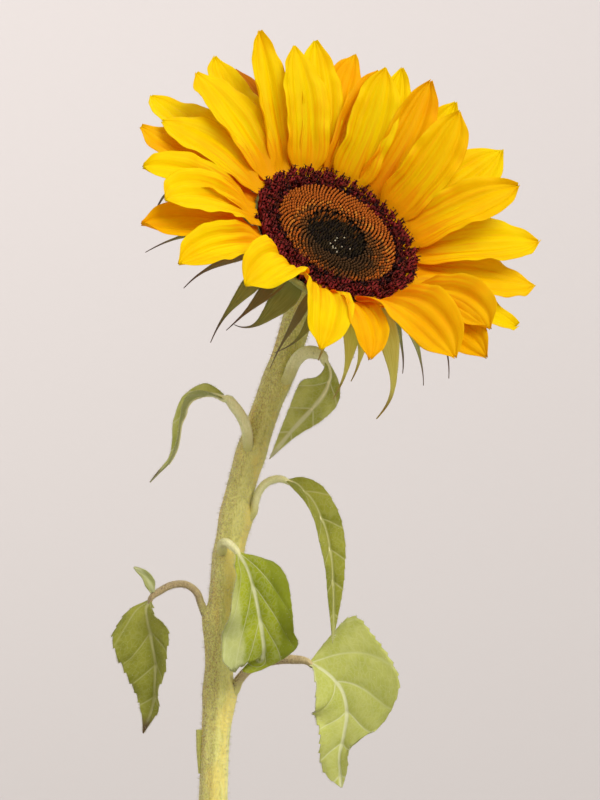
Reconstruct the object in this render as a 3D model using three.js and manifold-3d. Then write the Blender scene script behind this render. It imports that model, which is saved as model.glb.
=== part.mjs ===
// A rooted sunflower: one leaning stem, alternate stalked leaves and a single flower head.
//
// Millimetres, +Z up. The origin is the centre of the flat cut under the stem, at ground level.
// The head looks towards -Y, upwards and a little towards +X.

import * as THREE from 'three';
import { mergeVertices } from 'three/addons/utils/BufferGeometryUtils.js';
import Module from 'manifold-3d';

const wasm = await Module();
wasm.setup();

// ---------------------------------------------------------------- driving dimensions

const GAP = 0.3; // kept between solids that meet

// Stem: its centreline from the ground to the back of the head, and its radii.
const STEM_PATH = [
  [0, 0, 0], [0.6, 0, 130], [3, 0, 330], [4.7, 0, 365], [6.4, 0, 401], [9, 0, 427.5],
  [13.1, 0, 446], [18.9, 0, 466], [25.1, 0, 481], [31.1, 0, 498], [33.2, 0, 508], [34.8, -0.8, 517],
];
const STEM_SIDES = 12;
const STEM_RADIUS = 5.15; // slender, even part between the leaves that stand highest
const STEM_FOOT_RADIUS = 6.6; // just above the root flare
const STEM_EVEN_FROM = 330; // height where the taper from the foot ends
const FLARE = 3.4; // extra radius of the root flare at the ground
const FLARE_HEIGHT = 11;
const NECK_RADIUS = 6;
const NECK_FROM = 500; // height where the stem starts to swell into the neck
const NECK_SWELL = 30; // height in which it does
const NECK_STRAIGHT = 5; // last stretch, square to the receptacle
const FLARE_RINGS = [0, 5, 11, 19, 32]; // distances up the stem of its first rings
const UPPER_RINGS = 16; // rings shared out above them

// Head: the centre of the petals' rim, the direction it looks in and the radii of its zones.
const HEAD_CENTRE = new THREE.Vector3(47, -16.2, 539.7);
const HEAD_LOOK = new THREE.Vector3(0.45, -0.593, 0.667).normalize();
const RIM_RADIUS = 34; // where petals leave the disc
const RING_OUTER = 33.6; // open florets
const RING_INNER = 24.4;
const BUDS_OUTER = 24.1; // florets in bud
const BUDS_INNER = 12.2;
const CENTRE_RADIUS = 11.9; // green middle
const DISC_FLOOR = -1.9; // underside of the disc, measured along the head's axis
const CUP_DEPTH = 16; // from the rim to the back of the receptacle
const CUP_TOP = DISC_FLOOR - GAP;
const ROUND = 24; // sides of everything turned about the head's axis

// Petals: height of each tier's foot on the head's axis, and the outline along the petal.
const TIER_HEIGHT = [1.4, 0.3, -0.8];
const PETAL_ROWS = [
  [0, 0.24], [0.12, 0.56], [0.28, 0.86], [0.48, 1], [0.7, 0.92], [0.87, 0.6], [1, 0.05],
];
const PETAL_COLUMNS = [-1, -0.5, 0, 0.5, 1];
const PETAL_THICKNESS = 0.8;
const PETAL_CUP = 14; // degrees that each half is folded up from the middle
const RAY_STEPS = 40; // steps that trace a petal or a bract from its foot to its tip

// Each petal in order round the head: where it leaves the rim, its tier (0 lies in front), length,
// width, its lift off the disc's plane, how far it arches back by its tip, its sideways sway and roll.
const PETALS = [
  { turn: 9, tier: 1, length: 47, width: 14, lift: 8, arch: 20, sway: 28, roll: 0 },
  { turn: 24, tier: 2, length: 52, width: 14, lift: 15, arch: 15, sway: 20, roll: 0 },
  { turn: 36, tier: 1, length: 54, width: 16, lift: 27, arch: 20, sway: 12, roll: 0 },
  { turn: 48, tier: 0, length: 49, width: 18, lift: 47, arch: 20, sway: 6, roll: 0 },
  { turn: 59, tier: 1, length: 55, width: 17, lift: 43, arch: 20, sway: 18, roll: 0 },
  { turn: 69, tier: 0, length: 50, width: 17, lift: 54, arch: 15, sway: 38, roll: 0 },
  { turn: 78, tier: 2, length: 58, width: 14, lift: 40, arch: 15, sway: 18, roll: 0 },
  { turn: 86, tier: 1, length: 55, width: 15, lift: 48, arch: 15, sway: 22, roll: 0 },
  { turn: 94, tier: 2, length: 59, width: 13, lift: 38, arch: 15, sway: 21, roll: 0 },
  { turn: 102, tier: 0, length: 49, width: 17, lift: 50, arch: 15, sway: 17, roll: 0 },
  { turn: 110, tier: 1, length: 50, width: 13, lift: 42, arch: 15, sway: -11, roll: 0 },
  { turn: 117, tier: 2, length: 62, width: 14, lift: 28, arch: 15, sway: -17, roll: 0 },
  { turn: 124, tier: 1, length: 55, width: 15, lift: 37, arch: 15, sway: 7, roll: 0 },
  { turn: 132, tier: 0, length: 49, width: 18, lift: 41, arch: 15, sway: 11, roll: 0 },
  { turn: 140, tier: 2, length: 52, width: 11, lift: 22, arch: 30, sway: 7, roll: 0 },
  { turn: 148, tier: 1, length: 56, width: 13, lift: 34, arch: 10, sway: -14, roll: 0 },
  { turn: 156, tier: 1, length: 56, width: 14, lift: 14, arch: 10, sway: -22, roll: 0 },
  { turn: 164, tier: 0, length: 48, width: 17, lift: 22, arch: 20, sway: -7, roll: 0 },
  { turn: 173, tier: 2, length: 57, width: 16, lift: 4, arch: 20, sway: -24, roll: 0 },
  { turn: 182, tier: 0, length: 42, width: 17, lift: 16, arch: 25, sway: 4, roll: 0 },
  { turn: 192, tier: 2, length: 48, width: 15, lift: 10, arch: 20, sway: -22, roll: 0 },
  { turn: 204, tier: 1, length: 47, width: 13, lift: 18, arch: 20, sway: 20, roll: 0 },
  { turn: 215, tier: 0, length: 47, width: 17, lift: 22, arch: 20, sway: 36, roll: 0 },
  { turn: 227, tier: 2, length: 50, width: 16, lift: 12, arch: 20, sway: 0, roll: 0 },
  { turn: 239, tier: 0, length: 52, width: 16, lift: 18, arch: 25, sway: 16, roll: 0 },
  { turn: 258, tier: 0, length: 40, width: 18, lift: 52, arch: 80, sway: 1, roll: 0 },
  { turn: 282, tier: 0, length: 46, width: 17, lift: 44, arch: 70, sway: 11, roll: 0 },
  { turn: 298, tier: 1, length: 44, width: 15, lift: 44, arch: 60, sway: 4, roll: 0 },
  { turn: 317, tier: 0, length: 51, width: 21, lift: 60, arch: 76, sway: 16, roll: 42 },
  { turn: 331, tier: 2, length: 54, width: 17, lift: 48, arch: 44, sway: -4, roll: 45 },
  { turn: 343, tier: 0, length: 50, width: 17, lift: 58, arch: 50, sway: -32, roll: 45 },
];

// Bracts: green pointed scales in two tiers round the receptacle.
const BRACT_COUNT = 24;
const BRACT_ROWS = [[0, 0.55], [0.16, 1], [0.4, 0.72], [0.65, 0.28], [0.85, 0.12], [1, 0.06]];
const BRACT_WIDTH = 9;
const BRACT_LENGTH = 34;
const BRACT_THICKNESS = 0.9;
const BRACT_FEET = [{ radius: 29.5, height: -5.6 }, { radius: 25.5, height: -7.6 }];

// Leaves: where the rows lie along the midrib, and for each form of half blade the share of its width
// and of its base lobe's backward sweep at each row.
const LEAF_SHARES = [0, 0.05, 0.14, 0.28, 0.45, 0.62, 0.78, 0.91, 1];
const EGG = [
  [0.07, 0], [0.5, 0.85], [0.9, 0.8], [1, 0.45], [0.88, 0.12], [0.64, 0], [0.38, 0], [0.16, 0], [0.02, 0],
];
const LOBED = [
  [0.05, 0], [0.57, 0.2], [1, 0.5], [0.94, 0.8], [0.94, 1], [0.57, 1], [0.22, 0.45], [0.13, 0.2], [0.02, 0],
];
const OVAL = [
  [0.05, 0], [0.23, 0], [0.65, 0.2], [1, 0], [0.97, 0], [0.77, 0], [0.57, 0], [0.37, 0], [0.02, 0],
];
const EARED = [
  [0.07, 0], [0.65, 1], [1, 0.5], [0.65, 0], [0.5, 0], [0.35, 0], [0.25, 0], [0.15, 0], [0.02, 0],
];
const PEAR = [
  [0.08, 0], [0.2, 0], [0.4, 0], [0.62, 0], [0.8, 0], [1, 0], [0.9, 0], [0.5, 0], [0.03, 0],
];
const SQUARE = [
  [0.08, 0], [0.3, 0], [0.75, 0], [1, 0], [1, 0], [0.95, 0], [0.8, 0], [0.5, 0], [0.03, 0],
];
const LEAF_COLUMNS = [-1, -0.66, -0.33, 0, 0.33, 0.66, 1];
const LEAF_THICKNESS = 0.9;
const STALK_SIDES = 6;
const STALK_STEPS = 6;
const NODE_STRAIGHT = 1.2; // how far a stalk runs square off the stem

// Each leaf that stands on the upper stem: the height and direction of its node, the points of its
// stalk beyond the node and of its midrib, its left and right halves (form, width and lobe), the way
// its upper face looks at its foot and at its tip, the fold of its halves in degrees and its stalk's
// radius.
const UPPER_LEAVES = [
  {
    height: 488, turn: -62, radius: 1.5, fold: -24,
    stalk: [[33, -7.4, 493], [36, -8.8, 496.8], [40, -9.4, 498], [44.4, -9.6, 495.8]],
    midrib: [
      [46.8, -9.6, 491.6], [46.4, -9.4, 486], [41, -9, 477.6],
      [33.4, -8.6, 469.4], [24.3, -8, 458],
    ],
    left: { form: EGG, width: 8, lobe: 0 }, right: { form: EGG, width: 6, lobe: 0 },
    faces: [[1, -0.3, 0.6], [0.8, -0.6, -0.6]],
  },
  {
    height: 461, turn: -100, radius: 1.5, fold: 20,
    stalk: [[15.8, -8.4, 469], [12.8, -9.2, 475.6], [8.6, -9.4, 480.4]],
    midrib: [
      [3, -9.6, 482.4], [-3, -9.8, 481.4], [-7, -10, 477],
      [-9.2, -10, 469], [-11.2, -9.8, 459.5], [-20.2, -9, 449.4],
    ],
    left: { form: EARED, width: 8, lobe: 1.5 }, right: { form: EGG, width: 7, lobe: 3 },
    faces: [[-0.1, -0.7, 0.8], [-0.8, -0.8, 0.2]],
  },
  {
    height: 437, turn: -10, radius: 1.5, fold: 24,
    stalk: [[19.2, -1.5, 443], [21.4, -1.8, 447.4], [25, -2, 450], [29.6, -2.6, 450.2]],
    midrib: [
      [34.5, -3.2, 448.4], [39.6, -3.8, 443], [43.6, -4.4, 435.6],
      [46.8, -5, 424], [48, -5, 407], [47.8, -5, 389.2],
    ],
    left: { form: EGG, width: 9, lobe: 0 }, right: { form: EGG, width: 7, lobe: 0 },
    faces: [[0.3, -0.5, 1], [0.55, -0.8, 0.1]],
  },
  {
    height: 423, turn: -105, radius: 1.5, fold: 8,
    stalk: [[6.8, -9.4, 426.8], [8.6, -11.4, 427], [12, -13, 424.2]],
    midrib: [
      [15, -14.6, 419.4], [18.2, -16.4, 411], [20.4, -17.2, 401],
      [22, -16.6, 390], [21.6, -13, 382], [18.4, -9.6, 386],
    ],
    left: { form: PEAR, width: 15, lobe: 0 }, right: { form: SQUARE, width: 12.5, lobe: 0 },
    faces: [[0.1, -1, 1], [0.1, -1, -0.6]],
  },
  {
    height: 399, turn: -175, radius: 1.4, fold: 22,
    stalk: [
      [-1.6, -0.8, 404.6], [-4, -1, 409], [-8.8, -1.2, 411.2],
      [-15, -1.8, 409.6], [-20.4, -2.6, 405.4],
    ],
    midrib: [
      [-21.6, -3, 402.4], [-20.6, -3.6, 394], [-18.6, -4, 385],
      [-18.4, -4.2, 375], [-19.4, -4, 365], [-23, -3.6, 355.4],
    ],
    left: { form: EGG, width: 14, lobe: -2 }, right: { form: EGG, width: 9, lobe: -1 },
    faces: [[-0.5, -1, 0.6], [-0.45, -1, 0]],
  },
  {
    height: 371, turn: -8, radius: 1.4, fold: 14,
    stalk: [
      [13, -1.4, 375.6], [17, -1.6, 379.4], [23, -1.8, 381.8],
      [31.1, -2.2, 383], [38.6, -3, 382],
    ],
    midrib: [
      [41.8, -3.4, 380.2], [47.4, -4.4, 376.4], [52, -5.4, 370],
      [53, -6, 360], [50.4, -6, 348.6], [51, -5.6, 335.4],
    ],
    left: { form: OVAL, width: 13, lobe: 2 }, right: { form: LOBED, width: 22.5, lobe: 9 },
    faces: [[0.1, -1, 0.7], [-0.1, -1, 0]],
  },
];

// Leaves of the lower stem, one above the other by the growth angle, larger towards the ground.
const LOWER_LEAVES = 5;
const LOWER_TOP = 282; // height of the highest of them
const LOWER_STEP = 41;
const LOWER_TURN = 232; // degrees round the stem of the highest, then one growth angle for each
const GROWTH_ANGLE = 137.5;
const LOWER_STALK = 42; // length of the highest one's stalk
const LOWER_BLADE = 88;
const LOWER_GROWTH = 5; // how much longer each next stalk and blade is
const LOWER_RISE = 0.4; // height that a stalk gains, as a share of its reach
const LOWER_HALF = 0.37; // half of a blade's width, as a share of its length
const LOWER_LOBE = 0.14; // reach of its base lobes, as a share of its length
const LOWER_STALK_FORM = [[0.38, 0.5], [0.68, 0.92], [1, 1]]; // share of its reach out and of its rise
const LOWER_MIDRIB_FORM = [[0.1, 0.03], [0.3, 0.16], [0.48, 0.36], [0.6, 0.6], [0.66, 0.86]]; // out and down

// Leftover foot of a leaf that was cut away, low on the left of the upper stem.
const STUB_PATH = [[-2.5, -0.4, 340], [-2.65, -0.4, 348.5], [-2.6, -0.4, 356.4]];
const STUB_RADII = [0.35, 0.9, 1.15];

// ---------------------------------------------------------------- shared helpers

const rad = THREE.MathUtils.degToRad;
const vec = ([x, y, z]) => new THREE.Vector3(x, y, z);
const smooth = (points) => new THREE.CatmullRomCurve3(points.map(vec), false, 'centripetal');
const mix = (a, b, t) => a + (b - a) * t;

/** A repeatable number from -1 to 1 for a piece and a purpose. */
function vary(piece, purpose) {
  const wave = Math.sin(piece * 12.9898 + purpose * 78.233) * 43758.5453;
  return 2 * (wave - Math.floor(wave)) - 1;
}

/** A closed body through rings with the same number of points, capped about each end's middle. */
function loft(rings) {
  const sides = rings[0].length;
  const middle = (ring) => ring.reduce((sum, p) => sum.add(p), new THREE.Vector3()).divideScalar(sides);
  const points = [middle(rings[0]), ...rings.flat(), middle(rings[rings.length - 1])];
  const at = (row, side) => 1 + row * sides + (side % sides);
  const last = points.length - 1;
  const index = [];
  for (let side = 0; side < sides; side += 1) {
    index.push(0, at(0, side + 1), at(0, side));
    index.push(last, at(rings.length - 1, side), at(rings.length - 1, side + 1));
    for (let row = 0; row < rings.length - 1; row += 1) {
      index.push(at(row, side), at(row, side + 1), at(row + 1, side + 1));
      index.push(at(row, side), at(row + 1, side + 1), at(row + 1, side));
    }
  }
  const geometry = new THREE.BufferGeometry();
  const positions = points.flatMap((point) => point.toArray());
  geometry.setAttribute('position', new THREE.Float32BufferAttribute(positions, 3));
  geometry.setIndex(volumeOf(points, index) > 0 ? index : index.reverse());
  geometry.computeVertexNormals();
  return geometry;
}

/** Signed volume inside indexed triangles, positive where they face out. */
function volumeOf(points, index) {
  let volume = 0;
  for (let i = 0; i < index.length; i += 3) {
    const [a, b, c] = index.slice(i, i + 3).map((k) => points[k]);
    volume += a.dot(new THREE.Vector3().crossVectors(b, c)) / 6;
  }
  return volume;
}

/** A round limb: rings of the given radii across a curve at shares of its length. */
function limb(curve, shares, radii, sides) {
  let side = new THREE.Vector3().crossVectors(new THREE.Vector3(0, 1, 0), curve.getTangentAt(0));
  if (side.length() < 0.2) {
    side = new THREE.Vector3(1, 0, 0);
  }
  const rings = shares.map((share, row) => {
    const centre = curve.getPointAt(share);
    const along = curve.getTangentAt(share);
    side = side.clone().addScaledVector(along, -side.dot(along)).normalize();
    const other = new THREE.Vector3().crossVectors(along, side);
    return Array.from({ length: sides }, (_, k) => {
      const angle = (2 * Math.PI * k) / sides;
      const reach = side.clone().multiplyScalar(Math.cos(angle)).addScaledVector(other, Math.sin(angle));
      return centre.clone().addScaledVector(reach, radii[row]);
    });
  });
  return loft(rings);
}

/**
 * A thin blade: at each station a lens across the spine, its halves folded up from the middle.
 * A station has centre, along, across, fold in radians, thickness, and for each half its reach and
 * the backward sweep of its margin.
 */
function blade(stations, columns) {
  const rings = stations.map((s) => {
    const up = new THREE.Vector3().crossVectors(s.along, s.across);
    const place = (u, face) => {
      const share = Math.abs(u);
      const half = u < 0 ? s.left : s.right;
      const reach = share * half.reach;
      const body = s.thickness * (1 - share * share) * (face < 0 && u === 0 ? 1.5 : 1);
      return s.centre.clone()
        .addScaledVector(s.across, Math.sign(u) * reach * Math.cos(s.fold))
        .addScaledVector(up, reach * Math.sin(s.fold) + face * body * 0.5)
        .addScaledVector(s.along, -half.sweep * share * share);
    };
    const under = columns.slice(1, -1).reverse();
    return [...columns.map((u) => place(u, 1)), ...under.map((u) => place(u, -1))];
  });
  return loft(rings);
}

/** A named mesh with its own plain material. */
function part(name, geometry, colour, roughness) {
  const material = new THREE.MeshStandardMaterial({ color: colour, roughness, metalness: 0 });
  const mesh = new THREE.Mesh(geometry, material);
  mesh.name = name;
  return mesh;
}

/** The solid inside a closed geometry. */
function solidOf(geometry) {
  const bare = geometry.clone();
  bare.deleteAttribute('normal');
  bare.deleteAttribute('uv');
  const merged = mergeVertices(bare, 1e-3);
  return new wasm.Manifold(new wasm.Mesh({
    numProp: 3,
    vertProperties: new Float32Array(merged.attributes.position.array),
    triVerts: new Uint32Array(merged.index.array),
  }));
}

/** The geometry on the outside of a solid. */
function geometryOf(solid) {
  const mesh = solid.getMesh();
  const geometry = new THREE.BufferGeometry();
  const positions = new Float32Array(mesh.vertProperties);
  geometry.setAttribute('position', new THREE.BufferAttribute(positions, 3));
  geometry.setIndex(new THREE.BufferAttribute(new Uint32Array(mesh.triVerts), 1));
  geometry.computeVertexNormals();
  return geometry;
}

// ---------------------------------------------------------------- stem

/** The stem's radius at a height: root flare, taper, even stretch and neck. */
function stemRadius(height) {
  const taper = Math.max(0, 1 - height / STEM_EVEN_FROM);
  const neck = THREE.MathUtils.smoothstep(height, NECK_FROM, NECK_FROM + NECK_SWELL);
  const flare = FLARE * Math.exp(-height / FLARE_HEIGHT);
  return mix(STEM_RADIUS, STEM_FOOT_RADIUS, taper) + flare + (NECK_RADIUS - STEM_RADIUS) * neck;
}

/** The stem's centreline, which ends square to the back of the receptacle. */
function stemCurve() {
  const neck = HEAD_CENTRE.clone().addScaledVector(HEAD_LOOK, -CUP_DEPTH - GAP - NECK_STRAIGHT);
  const end = HEAD_CENTRE.clone().addScaledVector(HEAD_LOOK, -CUP_DEPTH - GAP);
  return smooth([...STEM_PATH, neck.toArray(), end.toArray()]);
}

/** The point of a rising curve at a height, and its direction there. */
function atHeight(curve, height) {
  let low = 0;
  let high = 1;
  for (let step = 0; step < 30; step += 1) {
    const middle = 0.5 * (low + high);
    if (curve.getPointAt(middle).z < height) {
      low = middle;
    } else {
      high = middle;
    }
  }
  return { centre: curve.getPointAt(low), along: curve.getTangentAt(low) };
}

/** The stem, from its flat cut at the ground to the back of the receptacle. */
function makeStem() {
  const curve = stemCurve();
  const length = curve.getLength();
  const shares = FLARE_RINGS.map((reach) => reach / length);
  const flareEnd = shares[shares.length - 1];
  for (let k = 1; k <= UPPER_RINGS; k += 1) {
    shares.push(mix(flareEnd, 1, k / UPPER_RINGS));
  }
  const radii = shares.map((share) => stemRadius(curve.getPointAt(share).z));
  return part('stem', limb(curve, shares, radii, STEM_SIDES), 0x9c9a4e, 0.75);
}

/** What is left of a leaf that was cut off at the stem. */
function makeStub() {
  return part('leaf_stub', limb(smooth(STUB_PATH), [0, 0.5, 1], STUB_RADII, STALK_SIDES), 0xa9a75c, 0.75);
}

// ---------------------------------------------------------------- leaves

/** The first two points of a stalk, which leaves the stem square to its surface. */
function nodePoints(leaf) {
  const { centre, along } = atHeight(stemCurve(), leaf.height);
  const outward = new THREE.Vector3(Math.cos(rad(leaf.turn)), Math.sin(rad(leaf.turn)), 0);
  outward.addScaledVector(along, -outward.dot(along)).normalize();
  const surface = stemRadius(leaf.height) + GAP;
  const at = (reach) => centre.clone().addScaledVector(outward, reach).toArray();
  return [at(surface), at(surface + NODE_STRAIGHT)];
}

/** A leaf's stalk, standing off the stem and ending just short of the blade. */
function makeStalk(name, leaf) {
  const curve = smooth([...nodePoints(leaf), ...leaf.stalk]);
  const { radius } = leaf;
  const shares = Array.from({ length: STALK_STEPS + 1 }, (_, k) => k / STALK_STEPS);
  const radii = shares.map((share) => radius * (1 + 0.35 * (1 - share) ** 3));
  return part(name, limb(curve, shares, radii, STALK_SIDES), 0xa3a267, 0.75);
}

/** The reach of half a blade at a row, and how far back its margin is swept there. */
function halfAt({ form, width, lobe }, row) {
  const [reach, sweep] = form[row];
  return { reach: reach * width, sweep: sweep * lobe };
}

/** A leaf's blade along its midrib, with the base lobes swept back beside the stalk. */
function makeLeafBlade(name, leaf) {
  const foot = vec(leaf.stalk[leaf.stalk.length - 1]);
  const start = foot.clone().add(vec(leaf.midrib[0]).sub(foot).setLength(2 * GAP));
  const curve = smooth([start.toArray(), ...leaf.midrib]);
  const [footFace, tipFace] = leaf.faces.map(vec);
  const stations = LEAF_SHARES.map((share, row) => {
    const along = curve.getTangentAt(share);
    const face = footFace.clone().lerp(tipFace, share);
    const across = new THREE.Vector3().crossVectors(face, along).normalize();
    return {
      centre: curve.getPointAt(share),
      along,
      across,
      left: halfAt(leaf.left, row),
      right: halfAt(leaf.right, row),
      fold: rad(leaf.fold) * Math.min(1, share * 6),
      thickness: LEAF_THICKNESS + (share === 0 ? 0.5 : 0),
    };
  });
  return part(name, blade(stations, LEAF_COLUMNS), 0x86a03c, 0.6);
}

/** A leaf of the lower stem: a rising stalk and a blade that droops from its end. */
function lowerLeaf(order) {
  const height = LOWER_TOP - LOWER_STEP * order;
  const turn = LOWER_TURN - GROWTH_ANGLE * order;
  const reach = LOWER_STALK + LOWER_GROWTH * order;
  const length = LOWER_BLADE + LOWER_GROWTH * order;
  const { centre } = atHeight(stemCurve(), height);
  const outward = new THREE.Vector3(Math.cos(rad(turn)), Math.sin(rad(turn)), 0);
  const upward = new THREE.Vector3(0, 0, 1);
  const at = (out, up) => centre.clone().addScaledVector(outward, out).addScaledVector(upward, up).toArray();
  const top = reach * (LOWER_RISE + 0.06 * vary(order, 1));
  const droop = length * (1 + 0.12 * vary(order, 2));
  const half = { form: EGG, width: length * LOWER_HALF, lobe: length * LOWER_LOBE };
  return {
    height,
    turn,
    stalk: LOWER_STALK_FORM.map(([out, up]) => at(out * reach, up * top)),
    midrib: LOWER_MIDRIB_FORM.map(([out, down]) => at(reach + out * length, top - down * droop)),
    left: half,
    right: half,
    faces: [[outward.x * 0.3, outward.y * 0.3, 1], [outward.x, outward.y, 0.3]],
    fold: 13,
    radius: 1.9,
  };
}

/** Every leaf, from the top of the stem down: a stalk and a blade each. */
function makeLeaves() {
  const group = new THREE.Group();
  const lower = Array.from({ length: LOWER_LEAVES }, (_, order) => lowerLeaf(order));
  [...UPPER_LEAVES, ...lower].forEach((leaf, k) => {
    const label = String(k + 1).padStart(2, '0');
    group.add(makeStalk(`stalk_${label}`, leaf));
    group.add(makeLeafBlade(`leaf_${label}`, leaf));
  });
  return group;
}

// ---------------------------------------------------------------- flower head, +Z along its axis

/** A body turned about the head's axis from [radius, height] pairs. */
function turned(profile) {
  const outline = profile.map(([radius, height]) => new THREE.Vector2(radius, height));
  return new THREE.LatheGeometry(outline, ROUND).rotateX(Math.PI / 2);
}

/** The three zones of florets, side by side. */
function makeDisc() {
  const group = new THREE.Group();
  const ring = [
    [RING_INNER, DISC_FLOOR], [RING_OUTER, DISC_FLOOR], [RING_OUTER, 2.6], [34.4, 4.2], [33, 5.5],
    [28, 5.6], [RING_INNER, 3.9], [RING_INNER, DISC_FLOOR],
  ];
  const buds = [
    [BUDS_INNER, DISC_FLOOR], [BUDS_OUTER, DISC_FLOOR], [BUDS_OUTER, 3.4], [18, 3.6],
    [BUDS_INNER, 2.4], [BUDS_INNER, DISC_FLOOR],
  ];
  const centre = [[0, DISC_FLOOR], [CENTRE_RADIUS, DISC_FLOOR], [CENTRE_RADIUS, 2.1], [6, 1.5], [0, 1.3]];
  group.add(part('disc_open_florets', turned(ring), 0x4a1014, 0.85));
  group.add(part('disc_florets_in_bud', turned(buds), 0x8a3c12, 0.85));
  group.add(part('disc_green_centre', turned(centre), 0x2a2416, 0.85));
  return group;
}

/** Stations of a blade that leaves the rim at an angle and bends as it goes. */
function radialStations(shape, rows, footRadius, footHeight, thickness) {
  const foot = new THREE.Vector3(Math.cos(shape.turn), Math.sin(shape.turn), 0).multiplyScalar(footRadius);
  const path = [foot.setZ(footHeight)];
  const heading = (share) => {
    const pitch = shape.lift - shape.arch * share;
    const yaw = shape.turn + shape.sway * share;
    const along = new THREE.Vector3(
      Math.cos(pitch) * Math.cos(yaw),
      Math.cos(pitch) * Math.sin(yaw),
      Math.sin(pitch),
    );
    const across = new THREE.Vector3(-Math.sin(yaw), Math.cos(yaw), 0);
    return { along, across: across.applyAxisAngle(along, shape.roll * share) };
  };
  for (let step = 0; step < RAY_STEPS; step += 1) {
    const { along } = heading((step + 0.5) / RAY_STEPS);
    path.push(path[step].clone().addScaledVector(along, shape.length / RAY_STEPS));
  }
  return rows.map(([share, width]) => ({
    centre: path[Math.round(share * RAY_STEPS)],
    ...heading(share),
    left: { reach: 0.5 * shape.width * width, sweep: 0 },
    right: { reach: 0.5 * shape.width * width, sweep: 0 },
    fold: shape.cup * Math.sin(Math.PI * Math.min(1, share + 0.1)),
    thickness: thickness * (1 - 0.5 * share),
  }));
}

/** The ray petals, each a mesh of its own. */
function makePetals() {
  const group = new THREE.Group();
  PETALS.forEach((petal, k) => {
    const shape = {
      turn: rad(petal.turn),
      lift: rad(petal.lift),
      arch: rad(petal.arch),
      sway: rad(petal.sway),
      roll: rad(petal.roll),
      cup: rad(PETAL_CUP),
      length: petal.length,
      width: petal.width,
    };
    const height = TIER_HEIGHT[petal.tier];
    const stations = radialStations(shape, PETAL_ROWS, RIM_RADIUS, height, PETAL_THICKNESS);
    const name = `petal_${String(k + 1).padStart(2, '0')}`;
    group.add(part(name, blade(stations, PETAL_COLUMNS), 0xf6c800, 0.55));
  });
  return group;
}

/** The receptacle's cup with its bracts grown on to it as one body. */
function makeBractCup() {
  const profile = [
    [0, -CUP_DEPTH], [6.4, -CUP_DEPTH], [12, -13.6], [21, -9.8], [28.5, -6.8],
    [RIM_RADIUS - 0.8, CUP_TOP - 0.6], [RIM_RADIUS - 0.8, CUP_TOP], [0, CUP_TOP],
  ];
  let body = solidOf(turned(profile));
  for (let k = 0; k < BRACT_COUNT; k += 1) {
    const foot = BRACT_FEET[k % 2];
    const shape = {
      turn: rad((360 * (k + 0.2 * vary(k, 3))) / BRACT_COUNT),
      lift: rad(-20 + 6 * vary(k, 4)),
      arch: rad(42 + 26 * vary(k, 5)),
      sway: rad(18 * vary(k, 6)),
      roll: 0,
      cup: rad(16),
      length: BRACT_LENGTH + 4 * vary(k, 7),
      width: BRACT_WIDTH,
    };
    const stations = radialStations(shape, BRACT_ROWS, foot.radius, foot.height, BRACT_THICKNESS);
    body = body.add(solidOf(blade(stations, [-1, 0, 1])));
  }
  return part('bract_cup', geometryOf(body), 0x6f8a3a, 0.7);
}

/** The whole head, turned to look the way it does and set on the end of the neck. */
function makeHead() {
  const head = new THREE.Group();
  const level = new THREE.Vector3().crossVectors(new THREE.Vector3(0, 1, 0), HEAD_LOOK).normalize();
  const far = new THREE.Vector3().crossVectors(HEAD_LOOK, level);
  head.add(makeDisc(), makePetals(), makeBractCup());
  head.quaternion.setFromRotationMatrix(new THREE.Matrix4().makeBasis(level, far, HEAD_LOOK));
  head.position.copy(HEAD_CENTRE);
  return head;
}

// ---------------------------------------------------------------- the plant

const sunflower = new THREE.Group();
sunflower.add(makeStem(), makeStub(), makeLeaves(), makeHead());

export default sunflower;
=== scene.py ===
"""A rooted sunflower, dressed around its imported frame.

Every mesh is in metres, in the frame's own axes: +Z up, the head looking towards -Y. The blades of
the leaves and petals, the stalks and the stem are read back from the frame's nodes and rebuilt
finely, and the florets, bracts and hairs are grown on them by seeded rules.
"""

import logging
import math
from dataclasses import dataclass, field
from enum import Enum

import bpy
import numpy as np
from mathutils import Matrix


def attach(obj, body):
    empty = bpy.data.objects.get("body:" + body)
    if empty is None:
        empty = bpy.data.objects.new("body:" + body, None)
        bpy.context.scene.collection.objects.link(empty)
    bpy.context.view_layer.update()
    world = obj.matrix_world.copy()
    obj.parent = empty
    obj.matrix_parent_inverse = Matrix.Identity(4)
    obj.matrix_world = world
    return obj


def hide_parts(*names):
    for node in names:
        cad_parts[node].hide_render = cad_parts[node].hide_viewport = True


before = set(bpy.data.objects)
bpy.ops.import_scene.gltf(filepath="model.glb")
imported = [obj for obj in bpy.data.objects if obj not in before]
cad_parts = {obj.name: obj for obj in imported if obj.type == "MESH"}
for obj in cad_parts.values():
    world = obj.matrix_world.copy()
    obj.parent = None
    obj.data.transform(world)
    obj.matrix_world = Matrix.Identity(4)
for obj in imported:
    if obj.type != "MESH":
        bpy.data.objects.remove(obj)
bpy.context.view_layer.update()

LOG = logging.getLogger("sunflower")
MM = 0.001
BODY = "root"
STEM_SEED = 90
BRACT_SEED = 311
PETAL_SEED = 700
PETAL_COUNT = 31
GOLDEN_ANGLE = math.radians(137.50776)
LEAF_COLUMNS = np.array([-1.0, -0.66, -0.33, 0.0, 0.33, 0.66, 1.0])
LEAF_UPWARD = np.array([0.0, -0.5, 1.0])
LOBE_FACING = np.array([0.25, -1.0, 0.2])
PETAL_COLUMNS = np.array([-1.0, -0.5, 0.0, 0.5, 1.0])
EAST = np.array([1.0, 0.0, 0.0])
NORTH = np.array([0.0, 1.0, 0.0])
UP = np.array([0.0, 0.0, 1.0])
ASKEW = np.array([0.31, 0.52, 0.79])

Array = np.ndarray
Colour = tuple[float, float, float]
Place = tuple[float, float, float]
Pair = tuple[float, float]
Socket = bpy.types.NodeSocket
Material = bpy.types.Material
Generator = np.random.Generator


# -------- numbers


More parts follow.
